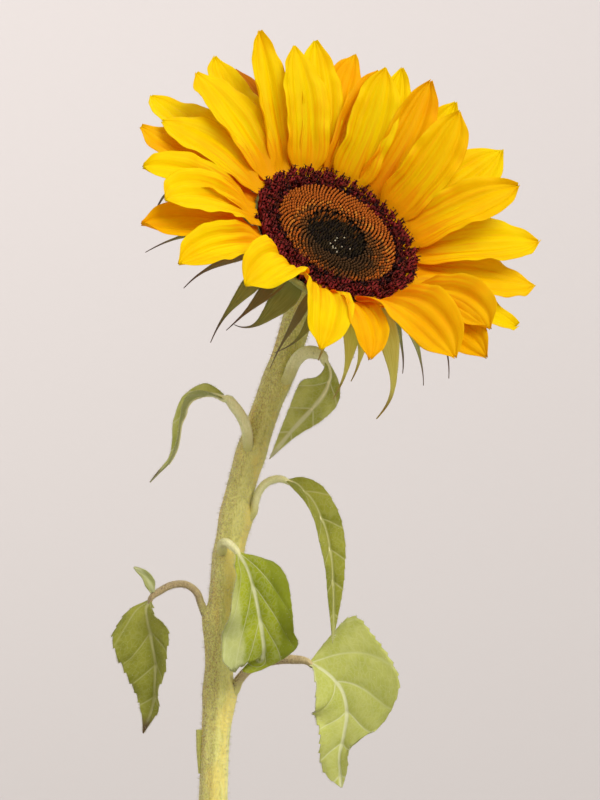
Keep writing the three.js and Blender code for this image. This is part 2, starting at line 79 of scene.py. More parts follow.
def unit(vectors: Array) -> Array:
    """Scales vectors along the last axis to length one."""
    return vectors / np.maximum(np.linalg.norm(vectors, axis=-1, keepdims=True), 1e-12)


def path_lengths(points: Array) -> Array:
    """Gives the length run along a path at each of its points, from zero."""
    steps = np.linalg.norm(np.diff(points, axis=0), axis=1)
    return np.concatenate([[0.0], np.cumsum(steps)])


def bump_at(values: Array, middle: float, width: float) -> Array:
    """Gives a bell of height one round a middle value."""
    return np.exp(-(((values - middle) / width) ** 2))


def ease(values: Array, low: float, high: float) -> Array:
    """Rises smoothly from zero at low to one at high."""
    t = np.clip((values - low) / (high - low), 0, 1)
    return t * t * (3 - 2 * t)


def circle(count: int) -> Array:
    """Gives even turns round a circle, in radians."""
    return 2 * math.pi * np.arange(count) / count


def smooth_through(knots: Array, values: Array, at: Array) -> Array:
    """Reads a smooth curve through known values.

    Args:
        knots: Rising places of the known values.
        values: Known values, one row for each knot.
        at: Places to read.

    Returns:
        One row for each place.
    """
    slopes = np.gradient(values, knots, axis=0)
    index = np.clip(np.searchsorted(knots, at, side="right") - 1, 0, len(knots) - 2)
    shape = (-1,) + (1,) * (values.ndim - 1)
    span = (knots[index + 1] - knots[index]).reshape(shape)
    t = (at - knots[index]).reshape(shape) / span
    low, high = values[index], values[index + 1]
    rise, fall = slopes[index] * span, slopes[index + 1] * span
    start = (2 * t**3 - 3 * t**2 + 1) * low + (t**3 - 2 * t**2 + t) * rise
    return start + (3 * t**2 - 2 * t**3) * high + (t**3 - t**2) * fall


# -------- meshes


def grid_faces(rows: int, columns: int, closed: bool = False) -> Array:
    """Joins a grid of points with quads.

    Args:
        rows: Number of rows.
        columns: Number of points in a row.
        closed: Whether each row runs round to its first point.

    Returns:
        Corner indices of the quads.
    """
    wide = columns if closed else columns - 1
    row, column = np.meshgrid(np.arange(rows - 1), np.arange(wide), indexing="ij")
    following = (column + 1) % columns
    above = (row + 1) * columns
    corners = [row * columns + column, row * columns + following, above + following, above + column]
    return np.stack(corners, axis=-1).reshape(-1, 4)


def end_fans(rows: int, sides: int) -> Array:
    """Closes both ends of a stack of rings.

    Args:
        rows: Number of rings.
        sides: Points of each ring.

    Returns:
        Triangles to two middle points, the foot's and the top's, that are listed after the rings.
    """
    turn = np.arange(sides)
    following = (turn + 1) % sides
    top = (rows - 1) * sides
    foot_fan = np.stack([following, turn, np.full(sides, rows * sides)], axis=1)
    top_fan = np.stack([top + turn, top + following, np.full(sides, rows * sides + 1)], axis=1)
    return np.concatenate([foot_fan, top_fan])


def with_middles(rings: Array) -> Array:
    """Lists the points of a stack of rings, then the middle of the first ring and of the last."""
    listed = rings.reshape(-1, rings.shape[-1])
    return np.concatenate([listed, rings[:1].mean(axis=1), rings[-1:].mean(axis=1)])


def surface_normals(points: Array) -> Array:
    """Gives the unit normals of a grid of points, one for each."""
    return unit(np.cross(np.gradient(points, axis=0), np.gradient(points, axis=1)))


def carry_frames(path: Array, start: Array) -> tuple[Array, Array, Array]:
    """Carries a sideways direction along a path without twist.

    Args:
        path: Points of the path.
        start: Direction to carry from the first point.

    Returns:
        Unit directions along, to the side and across both, at each point.
    """
    along = unit(np.gradient(path, axis=0))
    sides = np.empty_like(path)
    side = start
    for k, heading in enumerate(along):
        side = unit(side - np.dot(side, heading) * heading)
        sides[k] = side
    return along, sides, np.cross(along, sides)


@dataclass
class MeshParts:
    """Points, faces, slots and pattern coordinates gathered for one mesh."""

    points: list[Array] = field(default_factory=list)
    faces: list[Array] = field(default_factory=list)
    slots: list[Array] = field(default_factory=list)
    charts: list[Array] = field(default_factory=list)
    count: int = 0

    def add(self, points: Array, faces: Array, slot: int | Array, chart: Array) -> None:
        """Adds points with their faces.

        Args:
            points: Points of the new faces.
            faces: Corner indices, all faces with the same number of corners.
            slot: Material slot of all the faces, or of each.
            chart: Pattern coordinates of the points.
        """
        self.points.append(points.reshape(-1, 3))
        self.faces.append(faces + self.count)
        self.slots.append(np.broadcast_to(np.asarray(slot), (len(faces),)))
        self.charts.append(chart.reshape(-1, 2))
        self.count += self.points[-1].shape[0]

    def add_rings(self, rings: Array, chart: Array) -> None:
        """Adds a stack of rings with closed ends.

        Args:
            rings: Points as rows, sides and coordinates.
            chart: Pattern coordinates of the same points.
        """
        rows, sides = rings.shape[:2]
        self.add(with_middles(rings), grid_faces(rows, sides, closed=True), 0, with_middles(chart))
        fans = end_fans(rows, sides)
        self.faces.append(fans + self.count - len(self.points[-1]))
        self.slots.append(np.zeros(len(fans), dtype=int))

    def add_tube(self, path: Array, radii: Array, start: Array) -> Array:
        """Adds a round limb.

        Args:
            path: Points of its middle line.
            radii: Radius at each point of each ring, with one column for each side.
            start: Direction of the first side at the foot.

        Returns:
            Its rings, as rows, sides and coordinates, in the memory of the mesh's own points.
        """
        _, side, other = carry_frames(path, start)
        angle = circle(radii.shape[1])
        reach = side[:, None] * np.cos(angle)[:, None] + other[:, None] * np.sin(angle)[:, None]
        rings = path[:, None] + reach * radii[..., None]
        round_and_along = np.broadcast_arrays(angle[None] * radii.mean(), path_lengths(path)[:, None])
        self.add_rings(rings, np.stack(round_and_along, axis=-1))
        return self.points[-1][:-2].reshape(rings.shape)

    def add_shell(self, middle: Array, thickness: Array, chart: Array, slots: tuple[int, int]) -> None:
        """Adds a thin closed blade about its middle surface.

        Args:
            middle: Grid of points.
            thickness: Thickness at each point of the grid.
            chart: Pattern coordinates of the grid.
            slots: Material slots of the upper face and of the under face.
        """
        rows, columns = middle.shape[:2]
        offset = surface_normals(middle) * (0.5 * thickness)[..., None]
        faces = grid_faces(rows, columns)
        count = rows * columns
        index = np.arange(count).reshape(rows, columns)
        rim = np.concatenate([index[0, :-1], index[:-1, -1], index[-1, :0:-1], index[:0:-1, 0]])
        following = np.roll(rim, -1)
        edge = np.stack([rim, following, following + count, rim + count], axis=1)
        slot = np.repeat([slots[0], slots[1], slots[1]], [len(faces), len(faces), len(edge)])
        every = np.concatenate([faces[:, ::-1], faces + count, edge])
        points = np.concatenate([middle + offset, middle - offset])
        self.add(points, every, slot, np.concatenate([chart, chart]))

    def make(self, name: str, finishes: list[Material], slot: str) -> bpy.types.Object:
        """Builds the piece and sets it on the plant's body.

        Args:
            name: Name of the piece.
            finishes: Materials in slot order.
            slot: Not used.

        Returns:
            The new object.
        """
        points = np.concatenate(self.points)
        corners = np.concatenate([part.reshape(-1) for part in self.faces])
        sizes = np.concatenate([np.full(len(part), part.shape[1]) for part in self.faces])
        mesh = bpy.data.meshes.new(name)
        mesh.vertices.add(len(points))
        mesh.vertices.foreach_set("co", points.reshape(-1).astype(np.float32))
        mesh.loops.add(len(corners))
        mesh.loops.foreach_set("vertex_index", corners.astype(np.int32))
        mesh.polygons.add(len(sizes))
        starts = np.concatenate([[0], np.cumsum(sizes)[:-1]])
        mesh.polygons.foreach_set("loop_start", starts.astype(np.int32))
        mesh.polygons.foreach_set("material_index", np.concatenate(self.slots).astype(np.int32))
        mesh.polygons.foreach_set("use_smooth", np.ones(len(sizes), dtype=bool))
        chart = np.concatenate(self.charts)[corners]
        mesh.uv_layers.new(name="chart").data.foreach_set("uv", chart.reshape(-1).astype(np.float32))
        for finish in finishes:
            mesh.materials.append(finish)
        mesh.update(calc_edges=True)
        mesh.validate()
        piece = bpy.data.objects.new(name, mesh)
        bpy.context.scene.collection.objects.link(piece)
        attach(piece, BODY)
        LOG.info("%s: %d points, %d faces", name, len(points), len(sizes))
        return piece


# -------- reading the frame's bodies


def node_corners(node: str) -> Array:
    """Gives the corners of a node of the frame.

    Args:
        node: Name of the node.

    Returns:
        Its corners, one row for each.
    """
    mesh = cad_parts[node].data
    raw = np.empty(len(mesh.vertices) * 3)
    mesh.vertices.foreach_get("co", raw)
    return raw.reshape(-1, 3)


class Turn(Enum):
    """The way a loft's rings run about its direction of growth."""

    CLOCKWISE = -1
    COUNTER = 1


@dataclass
class Loft:
    """A frame node that is a closed loft between two end points, read back ring by ring."""

    node: str
    sides: int
    foot: Array
    turn: Turn
    weld: float = 0.004 * MM

    def read(self) -> Array:
        """Reads the rings from the end nearest the foot.

        Returns:
            Points as rows, sides and coordinates.
        """
        points, links = self._welded()
        ends = [k for k, near in enumerate(links) if len(near) == self.sides and self._levels(k, links)]
        first = min(ends, key=lambda k: float(np.linalg.norm(points[k] - self.foot)))
        levels = self._levels(first, links)
        rings = self._ordered(levels, links, 0)
        if self._swing(points, rings) * self.turn.value < 0:
            rings = self._ordered(levels, links, 1)
        return points[np.array(rings)]

    def _welded(self) -> tuple[Array, list[set[int]]]:
        """Joins the node's corners that coincide.

        Returns:
            The points and, for each, the points that share an edge with it.
        """
        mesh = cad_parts[self.node].data
        raw = node_corners(self.node)
        points: list[Array] = []
        which = np.full(len(raw), -1)
        for k, point in enumerate(raw):
            if which[k] < 0:
                same = np.linalg.norm(raw - point, axis=1) < self.weld
                which[same] = len(points)
                points.append(point)
        links: list[set[int]] = [set() for _ in points]
        for edge in mesh.edges:
            a, b = (int(which[v]) for v in edge.vertices)
            if a != b:
                links[a].add(b)
                links[b].add(a)
        return np.array(points), links

    def _levels(self, end: int, links: list[set[int]]) -> list[set[int]]:
        """Spreads from an end over the edges.

        Args:
            end: Point to start from.
            links: Neighbours of each point.

        Returns:
            The rings met on the way, or nothing if they aren't rings of this loft.
        """
        seen = {end}
        level = {end}
        rings = []
        while True:
            level = {near for k in level for near in links[k]} - seen
            seen |= level
            if len(level) == 1:
                return rings if len(seen) == len(links) else []
            if len(level) != self.sides:
                return []
            rings.append(level)

    def _ordered(self, levels: list[set[int]], links: list[set[int]], way: int) -> list[list[int]]:
        """Puts the points of each ring in order, each in line with the one before it.

        Args:
            levels: Rings as sets.
            links: Neighbours of each point.
            way: Which of the first point's two neighbours comes next.

        Returns:
            Rings as lists in step with each other.
        """
        start = min(levels[0])
        ring = [start, sorted(links[start] & levels[0])[way]]
        while len(ring) < self.sides:
            ring.append(next(k for k in links[ring[-1]] & levels[0] if k != ring[-2]))
        rings = [ring]
        for level in levels[1:]:
            ahead = [links[k] & level for k in rings[-1]]
            shared = [ahead[k - 1] & ahead[k] for k in range(self.sides)]
            rings.append([min(pair) for pair in shared])
        return rings

    def _swing(self, points: Array, rings: list[list[int]]) -> float:
        """Tells which way the rings run about the loft's direction of growth.

        Args:
            points: The loft's points.
            rings: Rings in order.

        Returns:
            A number with the sign of the turn.
        """
        shape = points[np.array(rings)]
        middle = shape.mean(axis=1)
        along = unit(np.gradient(middle, axis=0))
        arm = shape - middle[:, None]
        area = np.cross(arm, np.roll(arm, -1, axis=1)).sum(axis=1)
        return float((area * along).sum())


def round_limb(node: str, sides: int, rows: int) -> tuple[Array, Array]:
    """Reads a loft as a round limb of even rows, from its end nearest the origin.

    Args:
        node: Name of the node.
        sides: Points of each of its rings.
        rows: Number of rows.

    Returns:
        Points of its middle line and the radius at each.
    """
    rings = Loft(node, sides, np.zeros(3), Turn.COUNTER).read()
    centres = rings.mean(axis=1)
    radii = np.linalg.norm(rings - centres[:, None], axis=2).mean(axis=1)
    run = path_lengths(centres)
    at = np.linspace(0, run[-1], rows)
    return smooth_through(run, centres, at), smooth_through(run, radii, at)


@dataclass
class BladeForm:
    """The middle surface of a blade of the frame, from its foot to its tip and from left to right."""

    node: str
    columns: Array
    foot: Array
    upward: Array

    def read(self) -> Array:
        """Reads the surface.

        Returns:
            Points as rows, columns and coordinates, the first column on the left.
        """
        wide = len(self.columns)
        sides = 2 * wide - 2
        rings = Loft(self.node, sides, self.foot, Turn.CLOCKWISE).read()
        half = sides // 2
        spans = np.linalg.norm(rings - np.roll(rings, -half, axis=1), axis=2)
        row = int(spans.max(axis=1).argmax())
        rings = np.roll(rings, -int(spans[row].argmax()), axis=1)
        if np.dot(rings[1, half // 2] - rings[1, half + half // 2], self.upward) < 0:
            rings = np.roll(rings, -half, axis=1)
        over = rings[:, : half + 1]
        under = np.concatenate([rings[:, :1], rings[:, :half - 1:-1]], axis=1)
        return 0.5 * (over + under)

    def fine(self, rows: int, columns: int, lead: Array | None = None) -> Array:
        """Reads the surface on a fine grid.

        Args:
            rows: Rows of the grid, evenly spaced along the middle.
            columns: Points of each row.
            lead: Rows that come before the frame's, if the blade starts earlier.

        Returns:
            The grid of points.
        """
        coarse = self.read()
        if lead is not None:
            coarse = np.concatenate([lead, coarse])
        run = path_lengths(coarse[:, len(self.columns) // 2])
        long = smooth_through(run, coarse, np.linspace(0, run[-1], rows))
        across = np.swapaxes(long, 0, 1)
        fine = smooth_through(self.columns, across, np.linspace(-1, 1, columns))
        return np.swapaxes(fine, 0, 1)


# -------- finishes


class Board:
    """Lays shader nodes into one material."""

    def __init__(self, name: str) -> None:
        """Starts an empty material.

        Args:
            name: Name of the material.
        """
        self.material = bpy.data.materials.new(name)
        self.material.use_nodes = True
        self.tree = self.material.node_tree
        self.tree.nodes.clear()

    def put(self, kind: str, **settings: object) -> bpy.types.Node:
        """Adds a node.

        Args:
            kind: Node type.
            settings: Attributes of the node.

        Returns:
            The node.
        """
        node = self.tree.nodes.new(kind)
        for key, value in settings.items():
            setattr(node, key, value)
        return node

    def feed(self, socket: Socket, value: object) -> None:
        """Links a socket to another, or sets its value.

        Args:
            socket: Input socket.
            value: Output socket, number or colour.
        """
        if isinstance(value, Socket):
            self.tree.links.new(value, socket)
        elif isinstance(value, tuple) and len(value) == 3 and socket.type == "RGBA":
            socket.default_value = (*value, 1.0)
        else:
            socket.default_value = value

    def math(self, operation: str, first: object, second: object = 0.0) -> Socket:
        """Works out a sum.

        Args:
            operation: Name of the operation.
            first: First term.
            second: Second term, where the operation has one.

        Returns:
            The result.
        """
        node = self.put("ShaderNodeMath", operation=operation)
        self.feed(node.inputs[0], first)
        self.feed(node.inputs[1], second)
        return node.outputs[0]

    def plus(self, first: object, second: object) -> Socket:
        """Adds two numbers."""
        return self.math("ADD", first, second)

    def minus(self, first: object, second: object) -> Socket:
        """Takes the second number from the first."""
        return self.math("SUBTRACT", first, second)

    def times(self, first: object, second: object) -> Socket:
        """Multiplies two numbers."""
        return self.math("MULTIPLY", first, second)

    def mix(self, share: object, first: object, second: object) -> Socket:
        """Mixes two colours.

        Args:
            share: Share of the second.
            first: First colour.
            second: Second colour.

        Returns:
            The mixed colour.
        """
        node = self.put("ShaderNodeMix", data_type="RGBA")
        self.feed(node.inputs[0], share)
        self.feed(node.inputs[6], first)
        self.feed(node.inputs[7], second)
        return node.outputs[2]

    def spread(
        self, value: object, low: float, high: float, start: float = 0.0, end: float = 1.0
    ) -> Socket:
        """Maps a value from one range to another, smoothly and held at both ends.

        Args:
            value: Value to map.
            low: Value that gives the start.
            high: Value that gives the end.
            start: Result at low.
            end: Result at high.

        Returns:
            The mapped value.
        """
        node = self.put("ShaderNodeMapRange", interpolation_type="SMOOTHSTEP")
        for socket, number in zip(node.inputs, (value, low, high, start, end)):
            self.feed(socket, number)
        return node.outputs[0]

    def chart(self) -> tuple[Socket, Socket]:
        """Gives the two pattern coordinates, the one across the surface first."""
        across, along, _ = self.split(self.put("ShaderNodeUVMap", uv_map="chart").outputs[0])
        return across, along

    def split(self, place: Socket) -> list[Socket]:
        """Splits a place or a direction.

        Args:
            place: Place or direction.

        Returns:
            Its X, Y and Z.
        """
        node = self.put("ShaderNodeSeparateXYZ")
        self.feed(node.inputs[0], place)
        return list(node.outputs)

    def place(self, scale: Place = (1.0, 1.0, 1.0)) -> Socket:
        """Gives the place on the plant, stretched by a scale along each axis.

        Args:
            scale: Scale along X, Y and Z.

        Returns:
            The stretched place.
        """
        mapping = self.put("ShaderNodeMapping")
        self.feed(mapping.inputs[0], self.put("ShaderNodeTexCoord").outputs["Object"])
        mapping.inputs["Scale"].default_value = scale
        return mapping.outputs[0]

    def join(self, first: Socket, second: Socket) -> Socket:
        """Joins two numbers to a level place.

        Args:
            first: X.
            second: Y.

        Returns:
            The place.
        """
        node = self.put("ShaderNodeCombineXYZ")
        self.feed(node.inputs[0], first)
        self.feed(node.inputs[1], second)
        return node.outputs[0]

    def noise(self, where: Socket, scale: float, detail: float, roughness: float = 0.5) -> Socket:
        """Adds noise from 0 to 1.

        Args:
            where: Place to read.
            scale: Waves for each unit.
            detail: Octaves.
            roughness: Strength of the finer octaves.

        Returns:
            The noise.
        """
        node = self.put("ShaderNodeTexNoise")
        self.feed(node.inputs["Vector"], where)
        node.inputs["Scale"].default_value = scale
        node.inputs["Detail"].default_value = detail
        node.inputs["Roughness"].default_value = roughness
        return node.outputs[0]

    def bump(self, height: Socket, depth: float, strength: float = 1.0) -> Socket:
        """Adds a bump.

        Args:
            height: Height from 0 to 1.
            depth: Height of 1 in metres.
            strength: Strength of the bump.

        Returns:
            The bumped normal.
        """
        node = self.put("ShaderNodeBump")
        node.inputs["Strength"].default_value = strength
        node.inputs["Distance"].default_value = depth
        self.feed(node.inputs["Height"], height)
        return node.outputs[0]

    def surface(
        self, colour: object, roughness: object, normal: Socket | None = None, gloss: float = 0.5,
        sheen: float = 0.0,
    ) -> bpy.types.Node:
        """Adds the main shader.

        Args:
            colour: Base colour.
            roughness: Roughness.
            normal: Bumped normal.
            gloss: Strength of the mirrored light.
            sheen: Strength of the soft light on the rim.

        Returns:
            The shader node.
        """
        shader = self.put("ShaderNodeBsdfPrincipled")
        self.feed(shader.inputs["Base Color"], colour)
        self.feed(shader.inputs["Roughness"], roughness)
        shader.inputs["Specular IOR Level"].default_value = gloss
        shader.inputs["Sheen Weight"].default_value = sheen
        if normal is not None:
            self.feed(shader.inputs["Normal"], normal)
        return shader

    def finish(self, shader: bpy.types.Node, glow: object = None, share: float = 0.0) -> Material:
        """Ends the material, with some light let through if a glow is given.

        Args:
            shader: Main shader.
            glow: Colour of the light let through.
            share: Share of it.

        Returns:
            The material.
        """
        result = shader.outputs[0]
        if glow is not None:
            through = self.put("ShaderNodeBsdfTranslucent")
            self.feed(through.inputs["Color"], glow)
            blend = self.put("ShaderNodeMixShader")
            blend.inputs[0].default_value = share
            self.feed(blend.inputs[1], result)
            self.feed(blend.inputs[2], through.outputs[0])
            result = blend.outputs[0]
        self.feed(self.put("ShaderNodeOutputMaterial").inputs[0], result)
        return self.material


@dataclass(frozen=True)
class PetalFinish:
    """A ray petal: yellow, deeper towards its foot, with fine lengthwise lines, glowing orange in shade. The
    deeper foot and the lines are partly painted shade, and so are the orange clouds in the shade hues.
    """

    name: str
    bright: Colour
    deep: Colour
    warmth: float
    through: float
    clear_glow: Colour = (1.0, 0.72, 0.0)
    deep_glow: Colour = (0.95, 0.38, 0.0)

    def make(self) -> Material:
        """Builds the finish.

        Returns:
            The material.
        """
        board = Board(self.name)
        across, along = board.chart()
        lines, veins = (
            board.noise(board.join(board.times(across, wide), board.times(along, long)), 1.0, 2.0)
            for wide, long in ((8.0, 1.6), (22.0, 2.2))
        )
        clouds = board.noise(board.place(), 60.0, 2.0)
        # Partly painted shade: the foot is deeper, as the petal's own colour and as shade under the disc.
        foot = board.spread(along, 0.05, 0.45, 0.9, 0.0)
        # Partly painted shade: the lengthwise lines deepen the colour most near the foot, as streaks of the
        # petal and as shade in its creases.
        reach = board.spread(along, 0.2, 0.85, 0.75, 0.12)
        depth = board.plus(foot, board.times(reach, board.spread(lines, 0.45, 0.68)))
        # Orange clouds by warmth; in the shade hues they are painted shade.
        depth = board.plus(depth, board.spread(clouds, 0.4, 0.75, self.warmth, self.warmth + 0.3))
        depth = board.math("MINIMUM", depth, 1.0)
        colour = board.mix(depth, self.bright, self.deep)
        colour = board.mix(board.spread(veins, 0.52, 0.75, 0.0, 0.35), colour, self.deep)
        relief = board.bump(board.plus(veins, lines), 0.00012)
        shader = board.surface(colour, board.spread(veins, 0.3, 0.7, 0.46, 0.6), relief, gloss=0.06)
        return board.finish(shader, board.mix(depth, self.clear_glow, self.deep_glow), self.through)


@dataclass(frozen=True)
class LeafFinish:
    """A leaf's face: green between pale veins that leave the midrib, with a net of fine veins.

    Side veins leave the midrib at every spacing and run on by rise for each step outward. The face dries
    over the run dry, and beyond a rim it is pale on the rim's side and darkened on the other as painted
    shade.
    """

    name: str
    blade: Colour
    shade: Colour
    vein: Colour
    rise: float = 0.9
    spacing: float = 0.012
    net: float = 0.16
    dry: Pair = (1.0, 1.1)
    rim: float = 0.0
    through: float = 0.26
    worn: Colour = (0.13, 0.075, 0.04)
    glow: Colour = (0.42, 0.52, 0.04)

    def make(self) -> Material:
        """Builds the finish. Its chart holds the distance from the midrib and along it, in metres.

        Returns:
            The material.
        """
        board = Board(self.name)
        across, along = board.chart()
        off = board.math("ABSOLUTE", across)
        order = board.minus(along, board.times(off, self.rise))
        order = board.math("DIVIDE", order, self.spacing)
        near = board.math("ABSOLUTE", board.minus(board.math("FRACT", order), 0.5))
        side = board.spread(board.minus(0.5, near), 0.0, 0.07, 1.0, 0.0)
        side = board.times(side, board.spread(off, 0.0, 0.016, 0.7, 0.3))
        rib = board.spread(off, 0.00035, 0.0012, 0.9, 0.0)
        cells = board.put("ShaderNodeTexVoronoi", feature="DISTANCE_TO_EDGE")
        stray = board.times(board.noise(board.place(), 300.0, 2.0), 0.003)
        board.feed(cells.inputs["Vector"], board.join(board.plus(across, stray), board.minus(along, stray)))
        cells.inputs["Scale"].default_value = 620.0
        net = board.spread(cells.outputs["Distance"], 0.0, 0.16, self.net, 0.0)
        veins = board.math("MAXIMUM", board.math("MAXIMUM", side, rib), net)
        clouds = board.noise(board.place(), 95.0, 3.0)
        body = board.mix(board.spread(clouds, 0.3, 0.72), self.blade, self.shade)
        colour = board.mix(veins, body, self.vein)
        mottle = board.noise(board.place(), 900.0, 2.0)
        colour = board.mix(board.spread(mottle, 0.55, 0.8, 0.0, 0.25), colour, self.shade)
        drift = board.minus(clouds, 0.5)
        if self.rim:
            border = board.plus(across, board.times(drift, 0.004))
            outward = board.times(border, math.copysign(1.0, self.rim))
            start = abs(self.rim)
            pale = board.spread(outward, start, start + 0.0025, 0.0, 0.4)
            colour = board.mix(pale, colour, self.vein)
            # Painted shade: beyond the rim, on the side away from it, the face is darkened towards the shade
            # green.
            dark = board.spread(board.times(outward, -1.0), start, start + 0.002, 0.0, 0.8)
            colour = board.mix(dark, colour, tuple(0.8 * part for part in self.shade))
        end = board.plus(along, board.times(drift, 0.02))
        colour = board.mix(board.spread(end, *self.dry), colour, self.worn)
        height = board.minus(board.times(mottle, 0.4), board.times(veins, 0.6))
        shader = board.surface(colour, 0.62, board.bump(height, 0.00022), gloss=0.15, sheen=0.06)
        return board.finish(shader, board.mix(0.5, colour, self.glow), self.through)


@dataclass(frozen=True)
class StalkFinish:
    """A stem's or stalk's skin: green, streaked lengthwise, with a painted highlight on the side facing the
    light and brown freckles that gather as painted shade on the side away from it.

    Over the length merge its foot takes the colour root, and blush is the strength of its golden patches.
    """

    name: str
    light: Colour = (0.87, 0.84, 0.29)
    dark: Colour = (0.50, 0.49, 0.10)
    freckle_and_shade: Colour = (0.34, 0.20, 0.08)
    freckle_and_shade_strength: float = 0.75
    merge: float = 0.0
    root: Colour = (0.64, 0.62, 0.20)
    shade_gold: Colour = (0.90, 0.70, 0.16)
    blush: float = 0.0

    def make(self) -> Material:
        """Builds the finish.

        Returns:
            The material.
        """
        board = Board(self.name)
        streak = board.noise(board.place((1.0, 1.0, 0.5)), 1500.0, 4.0, 0.7)
        cloud = board.noise(board.place((1.0, 1.0, 0.25)), 90.0, 3.0)
        spots = board.noise(board.place((1.0, 1.0, 0.7)), 2300.0, 3.0, 0.7)
        east = board.split(board.put("ShaderNodeNewGeometry").outputs["Normal"])[0]
        colour = board.mix(board.spread(streak, 0.32, 0.76), self.light, self.dark)
        colour = board.mix(board.spread(cloud, 0.45, 0.75, 0.0, 0.35), colour, self.dark)
        # Painted highlight: the side whose normal faces the key light on the right is mixed towards the
        # light green.
        colour = board.mix(board.spread(east, 0.0, 0.9, 0.0, 0.55), colour, self.light)
        warm = board.noise(board.place((1.0, 1.0, 0.3)), 170.0, 2.0)
        colour = board.mix(board.spread(warm, 0.48, 0.66, 0.0, self.blush), colour, self.shade_gold)
        # Painted shade: the brown freckles are stronger where the normal turns away from the key light.
        patches = board.minus(board.spread(cloud, 0.3, 0.7, 0.15, 0.7), board.times(east, 0.85))
        freckle_and_shade_stain = board.times(board.spread(spots, 0.47, 0.6), patches)
        if self.merge:
            near = board.spread(board.chart()[1], 0.25 * self.merge, self.merge, 1.0, 0.0)
            colour = board.mix(near, colour, self.root)
        colour = board.mix(board.times(freckle_and_shade_stain, self.freckle_and_shade_strength), colour, self.freckle_and_shade)
        height = board.plus(board.times(streak, 0.6), board.times(spots, 0.6))
        rough = board.spread(spots, 0.3, 0.7, 0.55, 0.75)
        shader = board.surface(colour, rough, board.bump(height, 0.0003), gloss=0.2, sheen=0.1)
        shader.inputs["Sheen Roughness"].default_value = 0.6
        shader.inputs["Subsurface Weight"].default_value = 0.12
        shader.inputs["Subsurface Radius"].default_value = (0.0012, 0.0014, 0.0004)
        shader.inputs["Subsurface Scale"].default_value = 1.0
        return board.finish(shader)


@dataclass(frozen=True)
class BractFinish:
    """A bract: green with lengthwise lines, browner towards its drawn-out tip, and tinted at its foot with
    root as painted shade and orange reflection from the rays.
    """

    name: str
    blade: Colour = (0.40, 0.43, 0.11)
    shade: Colour = (0.23, 0.26, 0.05)
    tip: Colour = (0.17, 0.11, 0.09)
    root: Colour = (0.40, 0.43, 0.11)
    ends: float = 0.55
    through: float = 0.2
    glow: Colour = (0.42, 0.45, 0.07)

    def make(self) -> Material:
        """Builds the finish. Its chart runs across from -1 to 1 and along from 0 to 1.

        Returns:
            The material.
        """
        board = Board(self.name)
        across, along = board.chart()
        lines = board.noise(board.join(board.times(across, 5.0), board.times(along, 2.0)), 1.6, 2.0)
        clouds = board.noise(board.place(), 140.0, 3.0)
        colour = board.mix(board.spread(lines, 0.35, 0.7), self.blade, self.shade)
        colour = board.mix(board.spread(clouds, 0.45, 0.8, 0.0, 0.5), colour, self.shade)
        colour = board.mix(board.spread(along, self.ends, 0.9), colour, self.tip)
        # Painted shade and reflection: the foot, under the rays, is mixed towards the orange-brown root.
        colour = board.mix(board.spread(along, 0.04, 0.36, 0.85, 0.0), colour, self.root)
        shader = board.surface(colour, 0.66, board.bump(lines, 0.0002), gloss=0.25, sheen=0.25)
        return board.finish(shader, board.mix(0.7, colour, self.glow), self.through)


@dataclass(frozen=True)
class FloretFinish:
    """A plain coloured part of the florets, with a fine grain in its gloss and relief."""

    name: str
    colour: Colour
    roughness: float = 0.6
    gloss: float = 0.14

    def make(self) -> Material:
        """Builds the finish.

        Returns:
            The material.
        """
        board = Board(self.name)
        grain = board.noise(board.place(), 2600.0, 2.0)
        rough = board.spread(grain, 0.3, 0.7, self.roughness - 0.1, self.roughness + 0.1)
        return board.finish(board.surface(self.colour, rough, board.bump(grain, 0.0001), gloss=self.gloss))


@dataclass(frozen=True)
class HairFinish:
    """Short pale bristles."""

    name: str
    colour: Colour = (0.80, 0.78, 0.58)

    def make(self) -> Material:
        """Builds the finish.

        Returns:
            The material.
        """
        board = Board(self.name)
        grain = board.noise(board.place(), 700.0, 1.0)
        shader = board.surface(self.colour, board.spread(grain, 0.3, 0.7, 0.4, 0.6))
        return board.finish(shader, self.colour, 0.35)


@dataclass(frozen=True)
class StageFinish:
    """The matt paper of the floor and backdrop, with painted shade that makes it a little darker round the
    plant's foot and low down.
    """

    name: str
    near: Colour = (0.490, 0.462, 0.450)
    far: Colour = (0.505, 0.474, 0.468)

    def make(self) -> Material:
        """Builds the finish.

        Returns:
            The material.
        """
        board = Board(self.name)
        x, y, z = board.split(board.put("ShaderNodeTexCoord").outputs["Object"])
        reach = board.math("SQRT", board.plus(board.math("POWER", x, 2.0), board.math("POWER", y, 2.0)))
        # Painted shade: the paper is darker near the middle and low down, and lighter far off and high up.
        climb = board.plus(reach, board.times(z, 3.0))
        colour = board.mix(board.spread(climb, 1.5, 9.0), self.near, self.far)
        grain = board.noise(board.place(), 40.0, 4.0)
        colour = board.mix(board.spread(grain, 0.3, 0.7, 0.0, 0.04), colour, self.near)
        return board.finish(board.surface(colour, 0.95, board.bump(grain, 0.002, 0.15), gloss=0.0))


# -------- stem and leaves


@dataclass(frozen=True)
class NodeMark:
    """Where a leaf stalk leaves the stem."""

    place: Array
    out: Array


